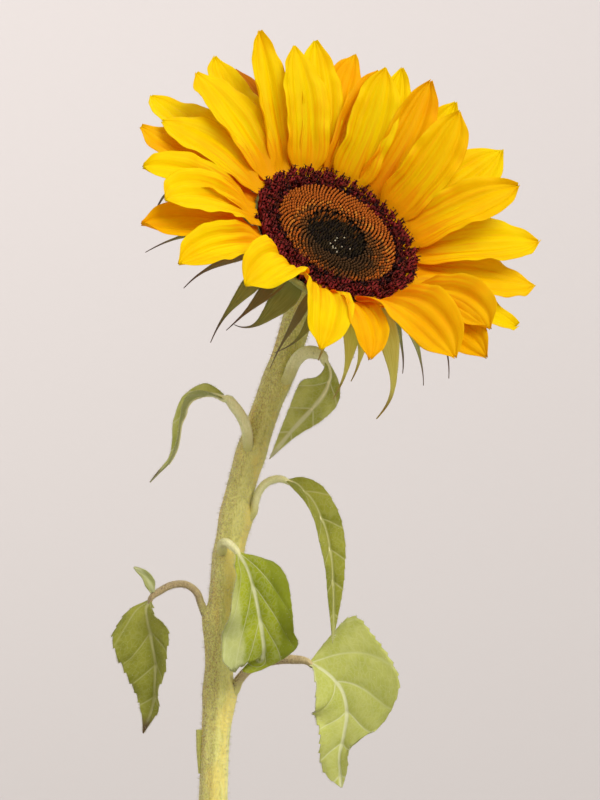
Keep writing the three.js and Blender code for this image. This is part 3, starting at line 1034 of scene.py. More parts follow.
@dataclass
class Bristles:
    """Short stiff hairs gathered from several surfaces into one joined mesh."""

    thickness: float = 0.065 * MM
    sink: float = 0.05 * MM
    scatter: float = 0.35
    roots: list[Array] = field(default_factory=list)
    tips: list[Array] = field(default_factory=list)

    def grow(self, rng: Generator, roots: Array, normals: Array, lean: Array | float, length: float) -> None:
        """Grows one hair on each root.

        Args:
            rng: Source of chance.
            roots: Points on the surface.
            normals: Unit normals there.
            lean: Direction that the hairs lean to, as long as the lean is strong.
            length: Usual length.
        """
        stray = rng.normal(0.0, self.scatter, roots.shape)
        heading = unit(normals + lean + stray)
        size = length * rng.uniform(0.45, 1.25, (len(roots), 1))
        self.roots.append(roots - normals * self.sink)
        self.tips.append(roots + heading * size)

    def line_margins(
        self, rng: Generator, surface: Array, rows: tuple[int, int], count: int, lean: float, length: float
    ) -> None:
        """Grows hairs along both margins of a blade, first the left and then the right.

        Args:
            rng: Source of chance.
            surface: The blade's middle surface.
            rows: First row that takes hairs, and the row that ends them.
            count: Hairs of each margin.
            lean: How much they lean to the blade's upper side.
            length: Usual length.
        """
        normal = surface_normals(surface)
        for column, inner in ((0, 1), (-1, -2)):
            row = rng.integers(*rows, count)
            outward = unit(surface[row, column] - surface[row, inner])
            self.grow(rng, surface[row, column], outward, lean * normal[row, column], length)

    def make(self, name: str, slot: str) -> None:
        """Builds the joined mesh of three-sided spikes.

        Args:
            name: Name of the piece.
            slot: Passed on to MeshParts.make, which does not use it.
        """
        roots, tips = np.concatenate(self.roots), np.concatenate(self.tips)
        heading = unit(tips - roots)
        side = unit(np.cross(heading, ASKEW))
        other = np.cross(heading, side)
        turns = circle(3)[:, None]
        ring = side[:, None] * np.cos(turns) + other[:, None] * np.sin(turns)
        points = np.concatenate([roots[:, None] + ring * self.thickness, tips[:, None]], axis=1)
        spike = np.array([[0, 1, 3], [1, 2, 3], [2, 0, 3], [0, 2, 1]])
        faces = (spike[None] + 4 * np.arange(len(roots))[:, None, None]).reshape(-1, 3)
        parts = MeshParts()
        parts.add(points, faces, 0, np.zeros((len(roots) * 4, 2)))
        parts.make(name, [HairFinish(f"{name}_skin").make()], slot)


@dataclass
class Stem:
    """The stem: one leaning limb with ribs, a root flare and a swelling under each leaf."""

    rows: int = 460
    sides: int = 84
    ribs: int = 8
    rib_depth: float = 0.16 * MM
    unevenness: float = 0.09 * MM
    ring_swell: float = 0.45 * MM
    foot_swell: float = 1.7 * MM
    foot_run: float = 20 * MM
    into_cup: float = 2 * MM
    hairs: int = 24000
    hair_length: float = 1.35 * MM

    def __post_init__(self) -> None:
        """Reads the stem's rings from the frame."""
        self.path, self.radii = round_limb("stem", 12, self.rows)
        self.path[-1] += unit(self.path[-1] - self.path[-2]) * self.into_cup

    def nearest(self, point: Array) -> int:
        """Gives the row of the stem's middle line nearest a point."""
        return int(np.linalg.norm(self.path - point, axis=1).argmin())

    def meeting(self, node: str) -> Array:
        """Finds where a node comes nearest the stem.

        Args:
            node: Name of the node.

        Returns:
            The point of the stem's middle line nearest any of its corners.
        """
        corners = node_corners(node)
        apart = np.linalg.norm(self.path[::4, None] - corners[None], axis=2).min(axis=1)
        return self.path[::4][apart.argmin()]

    def mark(self, foot: Array) -> NodeMark:
        """Marks where a stalk leaves.

        Args:
            foot: Middle of the stalk's foot.

        Returns:
            The mark.
        """
        row = self.nearest(foot)
        return NodeMark(self.path[row], unit(foot - self.path[row]))

    def build(self, marks: list[NodeMark], bristles: Bristles, rng: Generator) -> None:
        """Builds the stem and grows its hairs.

        Args:
            marks: Places of the leaf stalks.
            bristles: Hairs of the plant.
            rng: Source of chance.
        """
        along, side, other = carry_frames(self.path, EAST)
        angle = circle(self.sides)
        run = path_lengths(self.path)
        radii = self.radii[:, None] + self._ribbed(angle, run)
        for mark in marks:
            row = self.nearest(mark.place)
            turn = math.atan2(float(np.dot(mark.out, other[row])), float(np.dot(mark.out, side[row])))
            radii += self._swelling(angle - turn, run - run[row])
        parts = MeshParts()
        rings = parts.add_tube(self.path, radii, EAST)
        # The rings share the memory of these points, so both stop at the ground.
        parts.points[0][:, 2] = np.maximum(parts.points[0][:, 2], 0.0)
        outward = unit(rings - self.path[:, None])
        row = rng.integers(8, self.rows - 6, self.hairs)
        column = rng.integers(0, self.sides, self.hairs)
        jitter = rng.uniform(-0.5, 0.5, (self.hairs, 1)) * (self.path[1] - self.path[0])
        roots, normals = rings[row, column] + jitter, outward[row, column]
        bristles.grow(rng, roots, normals, -0.15 * along[row], self.hair_length)
        # The stem's brown freckles gather as painted shade on the side away from the light.
        bark = StalkFinish("stem_bark", freckle_and_shade=(0.36, 0.19, 0.08), blush=0.5)
        piece = parts.make("stem_skin", [bark.make()], "stem")
        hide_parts("stem")

    def _ribbed(self, angle: Array, run: Array) -> Array:
        """Shapes the ribs, which drift round the stem, and its slight want of roundness.

        Args:
            angle: Turn of each side.
            run: Length from the foot at each row.

        Returns:
            What they add to the radius, as rows and sides.
        """
        drift = 0.5 * np.sin(run / (37 * MM))[:, None]
        ribs = self.rib_depth * np.cos(self.ribs * angle[None] + drift)
        ribs += 0.5 * self.rib_depth * np.cos(3 * angle[None] + run[:, None] / (23 * MM))
        waist = np.sin(run / (7.3 * MM) + 1.3)[:, None] * np.cos(2 * angle[None] + 0.8)
        return ribs + self.unevenness * waist

    def _swelling(self, swing: Array, up: Array) -> Array:
        """Shapes the swelling under a leaf stalk and the ring that goes round the stem there.

        Args:
            swing: Turn of each side from the stalk's.
            up: Length above the stalk at each row.

        Returns:
            What they add to the radius, as rows and sides.
        """
        swing = (swing + math.pi) % (2 * math.pi) - math.pi
        rise = ease(up, -self.foot_run, 0.0)
        below = rise * (1 - ease(up, 0.5 * MM, 4.5 * MM))
        lobe = np.exp(-((swing[None] / (0.34 + 0.25 * rise)[:, None]) ** 2))
        ring = bump_at(up, -1 * MM, 5 * MM)[:, None]
        return self.foot_swell * below[:, None] * lobe + self.ring_swell * ring


class Tone(Enum):
    """How a leaf's upper face looks: its blade, shade and vein colours, and any settings of its own."""

    OLIVE = ((0.42, 0.43, 0.055), (0.26, 0.28, 0.024), (0.66, 0.66, 0.28))
    FRESH = ((0.42, 0.49, 0.040), (0.28, 0.35, 0.025), (0.70, 0.73, 0.32))
    PALE = ((0.68, 0.71, 0.20), (0.54, 0.58, 0.12), (0.86, 0.88, 0.54))
    DUSTY = ((0.70, 0.72, 0.19), (0.42, 0.45, 0.06), (0.90, 0.90, 0.52), {"dry": (0.053, 0.062)})
    AGED = ((0.40, 0.40, 0.060), (0.25, 0.26, 0.028), (0.62, 0.61, 0.26), {"dry": (0.041, 0.050)})
    # FANNED's rim darkens the side of leaf 4 away from it as painted shade.
    FANNED = (
        (0.51, 0.57, 0.035),
        (0.31, 0.37, 0.015),
        (0.84, 0.86, 0.52),
        {"rise": 2.3, "spacing": 0.013, "rim": -0.0062},
    )

    def upper(self) -> Material:
        """Builds the finish of the upper face.

        Returns:
            The material.
        """
        blade, shade, vein, *more = self.value
        settings = more[0] if more else {}
        return LeafFinish(f"leaf_face_{self.name.lower()}", blade, shade, vein, **settings).make()


class Skin(Enum):
    """How a leaf stalk looks: light and dark green, its brown freckles, which are partly painted shade,
    their strength and its foot's run.
    """

    GREEN = ((0.70, 0.70, 0.20), (0.44, 0.45, 0.10), (0.30, 0.20, 0.12), 0.5)
    PALE = ((0.97, 0.95, 0.55), (0.78, 0.79, 0.34), (0.46, 0.42, 0.16), 0.3, 0.014)
    STAINED = ((0.60, 0.49, 0.25), (0.36, 0.27, 0.14), (0.17, 0.08, 0.06), 0.95, 0.012)

    def make(self) -> Material:
        """Builds the finish."""
        return StalkFinish(f"stalk_{self.name.lower()}", *self.value).make()


@dataclass
class Leaf:
    """One leaf: a stalk that leaves the stem, its midrib and its blade.

    Its wings run back along the stalk. The blade is narrowed to start at its foot, widened by belly
    near its middle, folded up from the midrib, and turned about it by twist in degrees.
    """

    number: int
    tone: Tone
    teeth: float
    ruffle: float
    seed: int
    rows: int = 121
    columns: int = 45
    stalk_rows: int = 90
    stalk_sides: int = 20
    thickness: float = 0.38 * MM
    vein_spacing: float = 12 * MM
    vein_rise: float = 0.9
    vein_relief: float = 0.34 * MM
    rib_height: float = 0.9 * MM
    midrib_drop: float = 0.25 * MM
    tooth_run: float = 4.2 * MM
    foot_flare: float = 1.0
    flare_run: float = 3.2 * MM
    wing: float = 0.0
    fold: float = 0.0
    skin: Skin = Skin.GREEN
    stalk_swell: float = 1.0
    inset: float = 2.2 * MM
    start: float = 1.0
    start_run: float = 9 * MM
    belly: float = 1.0
    twist: float = 0.0
    margin_hairs: int = 480
    face_hairs: int = 420
    stalk_hairs: int = 420

    def read(self, stem: Stem) -> NodeMark:
        """Reads the stalk and the blade from the frame.

        Args:
            stem: The stem it stands on.

        Returns:
            The mark where its stalk leaves the stem.
        """
        self.rng = np.random.default_rng(self.seed)
        node = f"stalk_{self.number:02d}"
        rings = Loft(node, 6, stem.meeting(node), Turn.COUNTER).read()
        centres = rings.mean(axis=1)
        self.mark = stem.mark(centres[0])
        near = self.mark.place + self.mark.out * self.inset
        self.radius = self.stalk_swell * float(np.linalg.norm(rings[-1] - centres[-1], axis=1).mean())
        form = BladeForm(f"leaf_{self.number:02d}", LEAF_COLUMNS, centres[-1], LEAF_UPWARD)
        lead = self._wings(form.read(), centres) if self.wing else None
        surface = form.fine(self.rows, self.columns, lead)
        apart = np.linalg.norm(surface[:, self.columns // 2] - centres[-1], axis=1)
        self.first_row = int(apart.argmin())
        self.surface = self._spread_out(surface)
        self.stalk = np.concatenate([near[None], centres])
        return self.mark

    def _spread_out(self, surface: Array) -> Array:
        """Changes the blade's width and turns it about its middle line.

        Args:
            surface: The blade's middle surface.

        Returns:
            The new middle surface.
        """
        middle = surface[:, self.columns // 2]
        run = path_lengths(middle) - path_lengths(middle)[self.first_row]
        factor = np.where(run < 0, 1.0, self.start + (1 - self.start) * ease(run, 0.0, self.start_run))
        factor *= 1 + (self.belly - 1) * bump_at(run / run[-1], 0.4, 0.32) * (run > 0)
        offset = (surface - middle[:, None]) * factor[:, None, None]
        axis = unit(np.gradient(middle, axis=0))[:, None]
        swing = (math.radians(self.twist) * ease(run, -0.3 * self.start_run, self.start_run))[:, None, None]
        turned = offset * np.cos(swing) + np.cross(axis, offset) * np.sin(swing)
        turned += axis * (axis * turned).sum(axis=2, keepdims=True) * (1 - np.cos(swing))
        return middle[:, None] + turned

    def _wings(self, coarse: Array, centres: Array) -> Array:
        """Leads the blade back along its stalk as two narrow wings.

        Args:
            coarse: The blade's middle surface as the frame has it.
            centres: Middle line of the stalk.

        Returns:
            Rows of the wings, from the stalk's lower part to the blade.
        """
        across = unit(coarse[0, -1] - coarse[0, 0])
        along = unit(np.gradient(centres, axis=0))
        rows = []
        for k in range(2, len(centres) - 1):
            share = (k - 2) / (len(centres) - 3)
            side = unit(across - np.dot(across, along[k]) * along[k])
            half = self.wing * (0.15 + 0.85 * share)
            rows.append(centres[k] + side * half * LEAF_COLUMNS[:, None])
        return np.array(rows)

    def build(
        self, faces: dict[Tone, Material], under: Material, skins: dict[Skin, Material], bristles: Bristles
    ) -> None:
        """Builds the stalk and the blade and grows their hairs.

        Args:
            faces: Finishes of the upper faces.
            under: Finish of the under face.
            skins: Finishes of the stalks.
            bristles: Hairs of the plant.
        """
        self._build_blade(faces[self.tone], under, bristles)
        self._build_stalk(skins[self.skin], bristles)

    def _chart(self) -> Array:
        """Measures the blade.

        Returns:
            The distance from the midrib and along it at each of its points.
        """
        middle = self.columns // 2
        steps = np.linalg.norm(np.diff(self.surface, axis=1), axis=2)
        across = np.concatenate([np.zeros((self.rows, 1)), np.cumsum(steps, axis=1)], axis=1)
        across -= across[:, middle : middle + 1]
        along = np.repeat(path_lengths(self.surface[:, middle])[:, None], self.columns, axis=1)
        return np.stack([across, along], axis=-1)

    def _build_blade(self, face: Material, under: Material, bristles: Bristles) -> None:
        """Builds the blade with its teeth, veins and ripples.

        Args:
            face: Finish of the upper face.
            under: Finish of the under face.
            bristles: Hairs of the plant.
        """
        chart = self._chart()
        across, along = chart[..., 0], chart[..., 1]
        length = along[-1, 0]
        edge = np.abs(np.linspace(-1, 1, self.columns))[None]
        half = np.maximum(np.abs(across[:, :1]), np.abs(across[:, -1:]))
        waves = self.rng.uniform(0, 2 * math.pi, 4)
        relief = self._veins(across, along, edge, half) + self._ripples(along, half, waves)
        surface = self.surface + surface_normals(self.surface) * relief[..., None]
        surface += self._saw_teeth(half[:, 0], waves[2])
        thickness = self.thickness * (1 - 0.55 * edge**4) * np.ones_like(across)
        thickness += self.rib_height * bump_at(across, 0.0, 0.7 * MM) * (1 - ease(along, 0.0, 0.8 * length))
        parts = MeshParts()
        parts.add_shell(surface, thickness, chart, (0, 1))
        piece = parts.make(f"blade_{self.number:02d}", [face, under], "leaf")
        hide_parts(f"leaf_{self.number:02d}")
        middle = self.columns // 2
        self.midline = surface[:, middle] - self.midrib_drop * surface_normals(surface)[:, middle]
        self._grow_leaf_hairs(surface, bristles)

    def _veins(self, across: Array, along: Array, edge: Array, half: Array) -> Array:
        """Sinks the midrib and the side veins, raises the blade between them and folds its halves up.

        Args:
            across: Distance from the midrib at each point.
            along: Distance along it at each point.
            edge: Share of the way from the midrib to the margin in each column.
            half: Half of the blade's width in each row.

        Returns:
            Height above the blade's middle surface at each point.
        """
        order = (along - self.vein_rise * np.abs(across)) / self.vein_spacing
        gap = 0.5 - np.abs(order % 1.0 - 0.5)
        fade = ease(half, 1.5 * MM, 7 * MM) * (1 - ease(edge, 0.75, 1.0))
        pillow = 0.8 * np.sin(math.pi * gap) - bump_at(gap, 0.0, 0.10)
        groove = 0.8 * bump_at(across, 0.0, 0.9 * MM) * ease(half, 1 * MM, 4 * MM)
        return self.vein_relief * (pillow * fade - groove) + self.fold * edge * ease(half, 2 * MM, 12 * MM)

    def _ripples(self, along: Array, half: Array, waves: Array) -> Array:
        """Ruffles the margins by a long and a short wave.

        Args:
            along: Distance along the midrib at each point.
            half: Half of the blade's width in each row.
            waves: Starts of the waves.

        Returns:
            Height above the blade's middle surface at each point.
        """
        share = np.linspace(-1, 1, self.columns)[None]
        sides = 1.9 * np.sign(share)
        turns = 2 * math.pi * along / along[-1, 0]
        ripple = np.sin(turns / 0.55 + waves[0] + sides) + 0.7 * np.sin(turns / 0.31 + waves[1] + sides)
        return self.ruffle * ripple * np.abs(share) ** 3 * ease(half, 2 * MM, 9 * MM)

    def _saw_teeth(self, half: Array, wave: float) -> Array:
        """Draws the margins out into teeth that point outward and forward.

        Args:
            half: Half of the blade's width in each row.
            wave: Start of the wave that varies the teeth's lengths.

        Returns:
            Move of each point of the blade.
        """
        share = np.linspace(-1, 1, self.columns)
        moves = np.zeros_like(self.surface)
        for column, inner, sign in ((0, 1, -1), (-1, -2, 1)):
            margin = path_lengths(self.surface[:, column])
            step = margin / self.tooth_run + 0.35 * np.sin(margin / (9 * MM) + wave)
            saw = (step % 1.0) ** 1.6 * ease(half, 1.5 * MM, 6 * MM)
            outward = unit(self.surface[:, column] - self.surface[:, inner])
            outward += 0.5 * unit(np.gradient(self.surface[:, column], axis=0))
            reach = np.clip(sign * share, 0, 1) ** 9
            moves += (self.teeth * saw)[:, None, None] * reach[None, :, None] * outward[:, None]
        return moves

    def _grow_leaf_hairs(self, surface: Array, bristles: Bristles) -> None:
        """Grows hairs along the margins and on both faces, more of them on the under face.

        Args:
            surface: The blade's middle surface.
            bristles: Hairs of the plant.
        """
        rows = (3, self.rows - 2)
        bristles.line_margins(self.rng, surface, rows, self.margin_hairs, 0.3, 0.7 * MM)
        row = self.rng.integers(*rows, self.face_hairs)
        column = self.rng.integers(1, self.columns - 1, self.face_hairs)
        sign = self.rng.choice([-1.0, 1.0], (self.face_hairs, 1), p=[0.6, 0.4])
        out = sign * surface_normals(surface)[row, column]
        bristles.grow(self.rng, surface[row, column] + 0.2 * MM * out, out, 0.0, 0.45 * MM)

    def _build_stalk(self, skin: Material, bristles: Bristles) -> None:
        """Builds the stalk, which runs on under the blade as its midrib.

        Args:
            skin: Finish of the stalk.
            bristles: Hairs of the plant.
        """
        ahead = self.midline[self.first_row + 2 : int(0.86 * self.rows) : 6]
        knots = np.concatenate([self.stalk, ahead])
        run = path_lengths(knots)
        stalk_end, last = run[len(self.stalk) - 1], run[-1]
        free = np.linspace(0, stalk_end, self.stalk_rows, endpoint=False)
        at = np.concatenate([free, np.linspace(stalk_end, last, self.stalk_rows)])
        path = smooth_through(run, knots, at)
        radius = self.radius * (1 + 0.75 * self.foot_flare * np.exp(-at / self.flare_run))
        radius *= 1 - 0.62 * ease(at, 0.82 * stalk_end, stalk_end + 0.16 * (last - stalk_end))
        radius *= 1 - 0.72 * ease(at, stalk_end, last)
        angle = circle(self.stalk_sides)
        ribs = 1 + 0.06 * np.cos(5 * angle) + 0.04 * np.cos(2 * angle)
        parts = MeshParts()
        rings = parts.add_tube(path, radius[:, None] * ribs, unit(np.cross(self.mark.out, UP)))
        outward = unit(rings - path[:, None])
        row = self.rng.integers(2, self.stalk_rows + 30, self.stalk_hairs)
        column = self.rng.integers(0, self.stalk_sides, self.stalk_hairs)
        along = unit(np.gradient(path, axis=0))
        bristles.grow(self.rng, rings[row, column], outward[row, column], 0.1 * along[row], 0.8 * MM)
        piece = parts.make(f"leaf_stalk_{self.number:02d}", [skin], "leaf_stalk")
        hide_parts(f"stalk_{self.number:02d}")


@dataclass
class LeafStub:
    """What is left of a leaf that was cut off: a short scar that runs down into the stem."""

    rows: int = 60
    sides: int = 24
    shift: float = 0.35 * MM
    hairs: int = 90

    def build(self, skin: Material, bristles: Bristles, rng: Generator) -> None:
        """Builds the stub.

        Args:
            skin: Finish of the stalks.
            bristles: Hairs of the plant.
            rng: Source of chance.
        """
        path, radius = round_limb("leaf_stub", 6, self.rows)
        share = np.linspace(0, 1, self.rows)
        path[:, 0] += self.shift
        ragged = 1 + 0.08 * np.cos(3 * circle(self.sides) + 1.0)[None] * share[:, None]
        parts = MeshParts()
        rings = parts.add_tube(path, radius[:, None] * ragged, EAST)
        row = rng.integers(5, self.rows, self.hairs)
        column = rng.integers(0, self.sides, self.hairs)
        bristles.grow(rng, rings[row, column], unit(rings[row, column] - path[row]), 0.0, 0.8 * MM)
        piece = parts.make("leaf_scar", [skin], "stem")
        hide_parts("leaf_stub")


@dataclass
class BasalLobe:
    """The small pale lobe that stands up where the blade of a leaf meets its stalk."""

    points: tuple[Place, ...]
    width: float
    seed: int
    rows: int = 40
    columns: int = 13
    thickness: float = 0.35 * MM
    ripple: float = 0.35 * MM
    margin_hairs: int = 60

    def build(self, face: Material, under: Material, bristles: Bristles) -> None:
        """Builds the lobe.

        Args:
            face: Finish of the upper face.
            under: Finish of the under face.
            bristles: Hairs of the plant.
        """
        rng = np.random.default_rng(self.seed)
        knots = np.array(self.points)
        run = path_lengths(knots)
        path = smooth_through(run, knots, np.linspace(0, run[-1], self.rows))
        along = np.linspace(0, 1, self.rows)
        half = 0.5 * self.width * np.sqrt(np.clip(1 - along, 0.01, 1))
        half *= 0.35 + 0.65 * ease(along, 0.0, 0.35)
        heading = unit(np.gradient(path, axis=0))
        side = unit(np.cross(heading, LOBE_FACING))
        lift = np.cross(side, heading)
        share = np.linspace(-1, 1, self.columns)
        bend = 0.5 * half[:, None] * share**2 + self.ripple * np.sin(9 * along[:, None] + 3 * share)
        surface = path[:, None] + side[:, None] * (half[:, None] * share)[..., None]
        surface += lift[:, None] * bend[..., None]
        chart = np.stack(np.broadcast_arrays(half[:, None] * share, along[:, None] * run[-1]), axis=-1)
        parts = MeshParts()
        parts.add_shell(surface, np.full(surface.shape[:2], self.thickness), chart, (0, 1))
        parts.make("leaf_lobe", [face, under], "leaf")
        bristles.line_margins(rng, surface, (2, self.rows - 1), self.margin_hairs, 0.0, 0.6 * MM)


# -------- flower head


@dataclass(frozen=True)
class HeadFrame:
    """The flower head's own axes: level, up the face and out of the face."""

    centre: Place = (0.047, -0.0162, 0.5397)
    heading: Place = (0.45, -0.593, 0.667)
    stretch: Pair = (0.97, 1.07)
    shift: Pair = (0.0009, 0.0017)

    def look(self) -> Array:
        """Gives the direction the head looks."""
        return unit(np.array(self.heading))

    def basis(self) -> Array:
        """Gives the head's axes.

        Returns:
            Unit directions, one in each row.
        """
        look = self.look()
        level = unit(np.cross(NORTH, look))
        return np.stack([level, np.cross(look, level), look])

    def world(self, points: Array) -> Array:
        """Takes points from the head's axes to the plant's.

        Args:
            points: Points in the head's axes.

        Returns:
            The points in the plant's axes.
        """
        return np.array(self.centre) + points @ self.basis()

    @staticmethod
    def ring_point(radius: Array, turn: Array, height: Array) -> Array:
        """Gives points of the head's axes from radii, turns in radians and heights."""
        return np.stack(np.broadcast_arrays(radius * np.cos(turn), radius * np.sin(turn), height), axis=-1)

    def oval(self, places: Array) -> Array:
        """Seats places of a round disc on the head's slightly oval one."""
        return places * np.array([*self.stretch, 1.0]) + np.array([*self.shift, 0.0])


class Hue(Enum):
    """Colour of a petal: how much orange its clouds take, what light it lets through, its two yellows.
    SHADE_GOLD and SHADE_ORANGE are oranger copies of CLEAR for petals that sit in shade, as painted shade,
    and DRY is a dried petal.
    """

    CLEAR = (0.0, 0.40, (0.92, 0.77, 0.0), (0.90, 0.46, 0.0))
    # Painted shade: oranger copies of CLEAR for petals that sit in shade.
    SHADE_GOLD = (0.10, 0.40, (0.92, 0.71, 0.0), (0.90, 0.42, 0.0))
    SHADE_ORANGE = (0.22, 0.40, (0.90, 0.62, 0.0), (0.88, 0.36, 0.0))
    DRY = (0.55, 0.30, (0.78, 0.34, 0.006), (0.46, 0.14, 0.004))

    def make(self) -> Material:
        """Builds the finish."""
        warmth, through, bright, deep = self.value
        return PetalFinish(f"petal_{self.name.lower()}", bright, deep, warmth, through).make()


@dataclass
class Ray:
    """One ray petal: a thin strap with long pleats, fine ribs and a waved margin."""

    number: int
    hue: Hue
    wide: float
    pleat: float = 1.5 * MM
    ripple: float = 0.45 * MM
    rows: int = 52
    columns: int = 33
    thickness: float = 0.3 * MM
    rib: float = 0.07 * MM
    tuck: float = 2.7 * MM
    base_swell: float = 2.3
    notch: float = 0.9 * MM

    def build(self, head: HeadFrame, finishes: dict[Hue, Material]) -> None:
        """Builds the petal.

        Args:
            head: The flower head's axes.
            finishes: Finish for each hue.
        """
        rng = np.random.default_rng(PETAL_SEED + self.number)
        surface = self._widened(head)
        share = np.linspace(-1, 1, self.columns)[None]
        along = np.linspace(0, 1, self.rows)[:, None]
        run = along * path_lengths(surface[:, self.columns // 2])[-1]
        swing = rng.uniform(-0.08, 0.08)
        relief = self._relief(rng, share, along, run, swing)
        surface = surface + surface_normals(surface) * relief[..., None]
        notch = self.notch * rng.uniform(0.3, 1.0) * bump_at(share, swing * 2, 0.16)
        heading = unit(surface[-1] - surface[-4])
        surface -= (ease(along, 0.86, 1.0) * notch)[..., None] * heading[None]
        thickness = self.thickness * (1 - 0.6 * np.abs(share) ** 6) * np.ones_like(along)
        chart = np.stack(np.broadcast_arrays(share, along), axis=-1)
        parts = MeshParts()
        parts.add_shell(surface, thickness, chart, (0, 0))
        piece = parts.make(f"ray_{self.number:02d}", [finishes[self.hue]], "petal")
        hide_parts(f"petal_{self.number:02d}")

    def _widened(self, head: HeadFrame) -> Array:
        """Reads the petal, leads it under the disc and widens it.

        Args:
            head: The flower head's axes.

        Returns:
            The petal's middle surface.
        """
        form = BladeForm(f"petal_{self.number:02d}", PETAL_COLUMNS, np.array(head.centre), head.look())
        first = form.read()[:1]
        foot = first[0].mean(axis=0) - np.array(head.centre)
        inward = -unit(foot - head.look() * np.dot(foot, head.look()))
        surface = form.fine(self.rows, self.columns, first + inward * self.tuck)
        along = np.linspace(0, 1, self.rows)[:, None]
        middle = surface[:, self.columns // 2][:, None]
        swell = 1 + (self.base_swell - 1) * (1 - ease(along, 0.0, 0.4))
        swell += (self.wide - 1) * ease(along, 0.05, 0.5)
        return middle + (surface - middle) * swell[..., None]

    def _relief(self, rng: Generator, share: Array, along: Array, run: Array, swing: float) -> Array:
        """Shapes the pleats, the fine ribs, the hollow across, the waved margins and a slight rocking.

        Args:
            rng: Source of chance.
            share: Places across the petal, from -1 to 1.
            along: Places along it, from 0 to 1.
            run: The same places in metres.
            swing: How far the pleats lean to a side.

        Returns:
            Height above the petal's middle surface at each point.
        """
        spots = (-0.52, -0.1, 0.42) if self.number % 2 else (-0.36, 0.3, 0.62)
        keel = sum(bump_at(share, spot + swing * (1 + along), 0.15) for spot in spots)
        fade = ease(along, 0.02, 0.3) * (1 - 0.7 * ease(along, 0.7, 1.0))
        ribs = np.cos(2 * math.pi * (share * 6.5 + 0.4 * np.sin(3 * along + swing * 20)))
        hollow = rng.uniform(-0.4, 1.5) * MM * (share**2 - 0.3) * ease(along, 0.1, 0.5)
        phase = rng.uniform(0, 2 * math.pi, 3)
        wave = np.sin(2 * math.pi * run / (15 * MM) + phase[0] + 1.4 * share)
        wave += 0.6 * np.sin(2 * math.pi * run / (8.5 * MM) + phase[1] - 2.0 * share)
        ripple = self.ripple * wave * np.abs(share) ** 2.5 * ease(along, 0.1, 0.45)
        rock = 0.5 * MM * np.sin(2.2 * math.pi * along + phase[2]) * share * ease(along, 0.2, 0.6)
        return (self.pleat * (0.4 - keel) + self.rib * ribs) * fade + hollow + ripple + rock


class Tint(Enum):
    """How a bract looks, in the order of the bracts' slots."""

    GREEN = BractFinish("bract_green")
    PALE = BractFinish(
        "bract_pale", (0.86, 0.86, 0.36), (0.66, 0.64, 0.18), (0.34, 0.20, 0.10), (0.70, 0.40, 0.05),
        ends=0.7, through=0.55, glow=(0.98, 0.95, 0.30),
    )
    BROWN = BractFinish(
        "bract_brown", (0.34, 0.28, 0.11), (0.22, 0.17, 0.06), (0.15, 0.09, 0.08), (0.48, 0.30, 0.06)
    )

    def slot(self) -> int:
        """Gives the tint's place among the bracts' slots."""
        return list(Tint).index(self)


@dataclass(frozen=True)
class Bract:
    """One bract: where it stands round the cup and how it bends out to its thread-like tip.

    Its foot is a radius and a height. Turn, lift, arch, sway and hooks are in degrees, sizes in millimetres.
    """

    turn: float
    foot: Pair
    lift: float
    arch: float
    sway: float
    length: float
    width: float
    hook: float = 0.0
    side_hook: float = 0.0
    tint: Tint = Tint.GREEN


OUTER_FOOT = (29.5, -5.6)
INNER_FOOT = (25.5, -7.6)
FRONT_BRACTS = (
    Bract(182, OUTER_FOOT, -3, 58, 12, 49, 7.5, -60, 110),
    Bract(196, INNER_FOOT, -20, 30, -8, 36, 8.0, 20, 40),
    Bract(211, OUTER_FOOT, -20, 30, -5, 41, 7.5, 0, 20),
    Bract(225, INNER_FOOT, -30, 12, 8, 34, 7.0, 0, 25, Tint.BROWN),
    Bract(247, OUTER_FOOT, -45, 0, 28, 37, 7.0, 0, 12),
    Bract(256, INNER_FOOT, -42, -12, 0, 31, 6.5, 0, 0, Tint.BROWN),
    Bract(268, INNER_FOOT, -44, 8, -35, 32, 9.5, 18, -110),
    Bract(282, INNER_FOOT, -55, 10, -12, 32, 3.6, 0, 25, Tint.BROWN),
    Bract(291, INNER_FOOT, -30, 18, -45, 29, 5.0, -10, -50),
    Bract(300, OUTER_FOOT, -32, 22, -12, 22, 9.5, 0, 0, Tint.PALE),
    Bract(315, INNER_FOOT, -20, 42, -12, 37, 8.5, 0, -25, Tint.PALE),
    Bract(321, OUTER_FOOT, -28, 30, -18, 28, 8.5, 0, -20, Tint.PALE),
    Bract(331, OUTER_FOOT, -12, 38, -12, 45, 12.0, 0, -60, Tint.PALE),
    Bract(350, OUTER_FOOT, -5, 58, 2, 38, 8.5, 0, 20),
    Bract(358, INNER_FOOT, -22, 46, 8, 34, 8.0, 30, -60),
    Bract(13, OUTER_FOOT, -5, 50, -20, 45, 8.0, 0, -20),
)


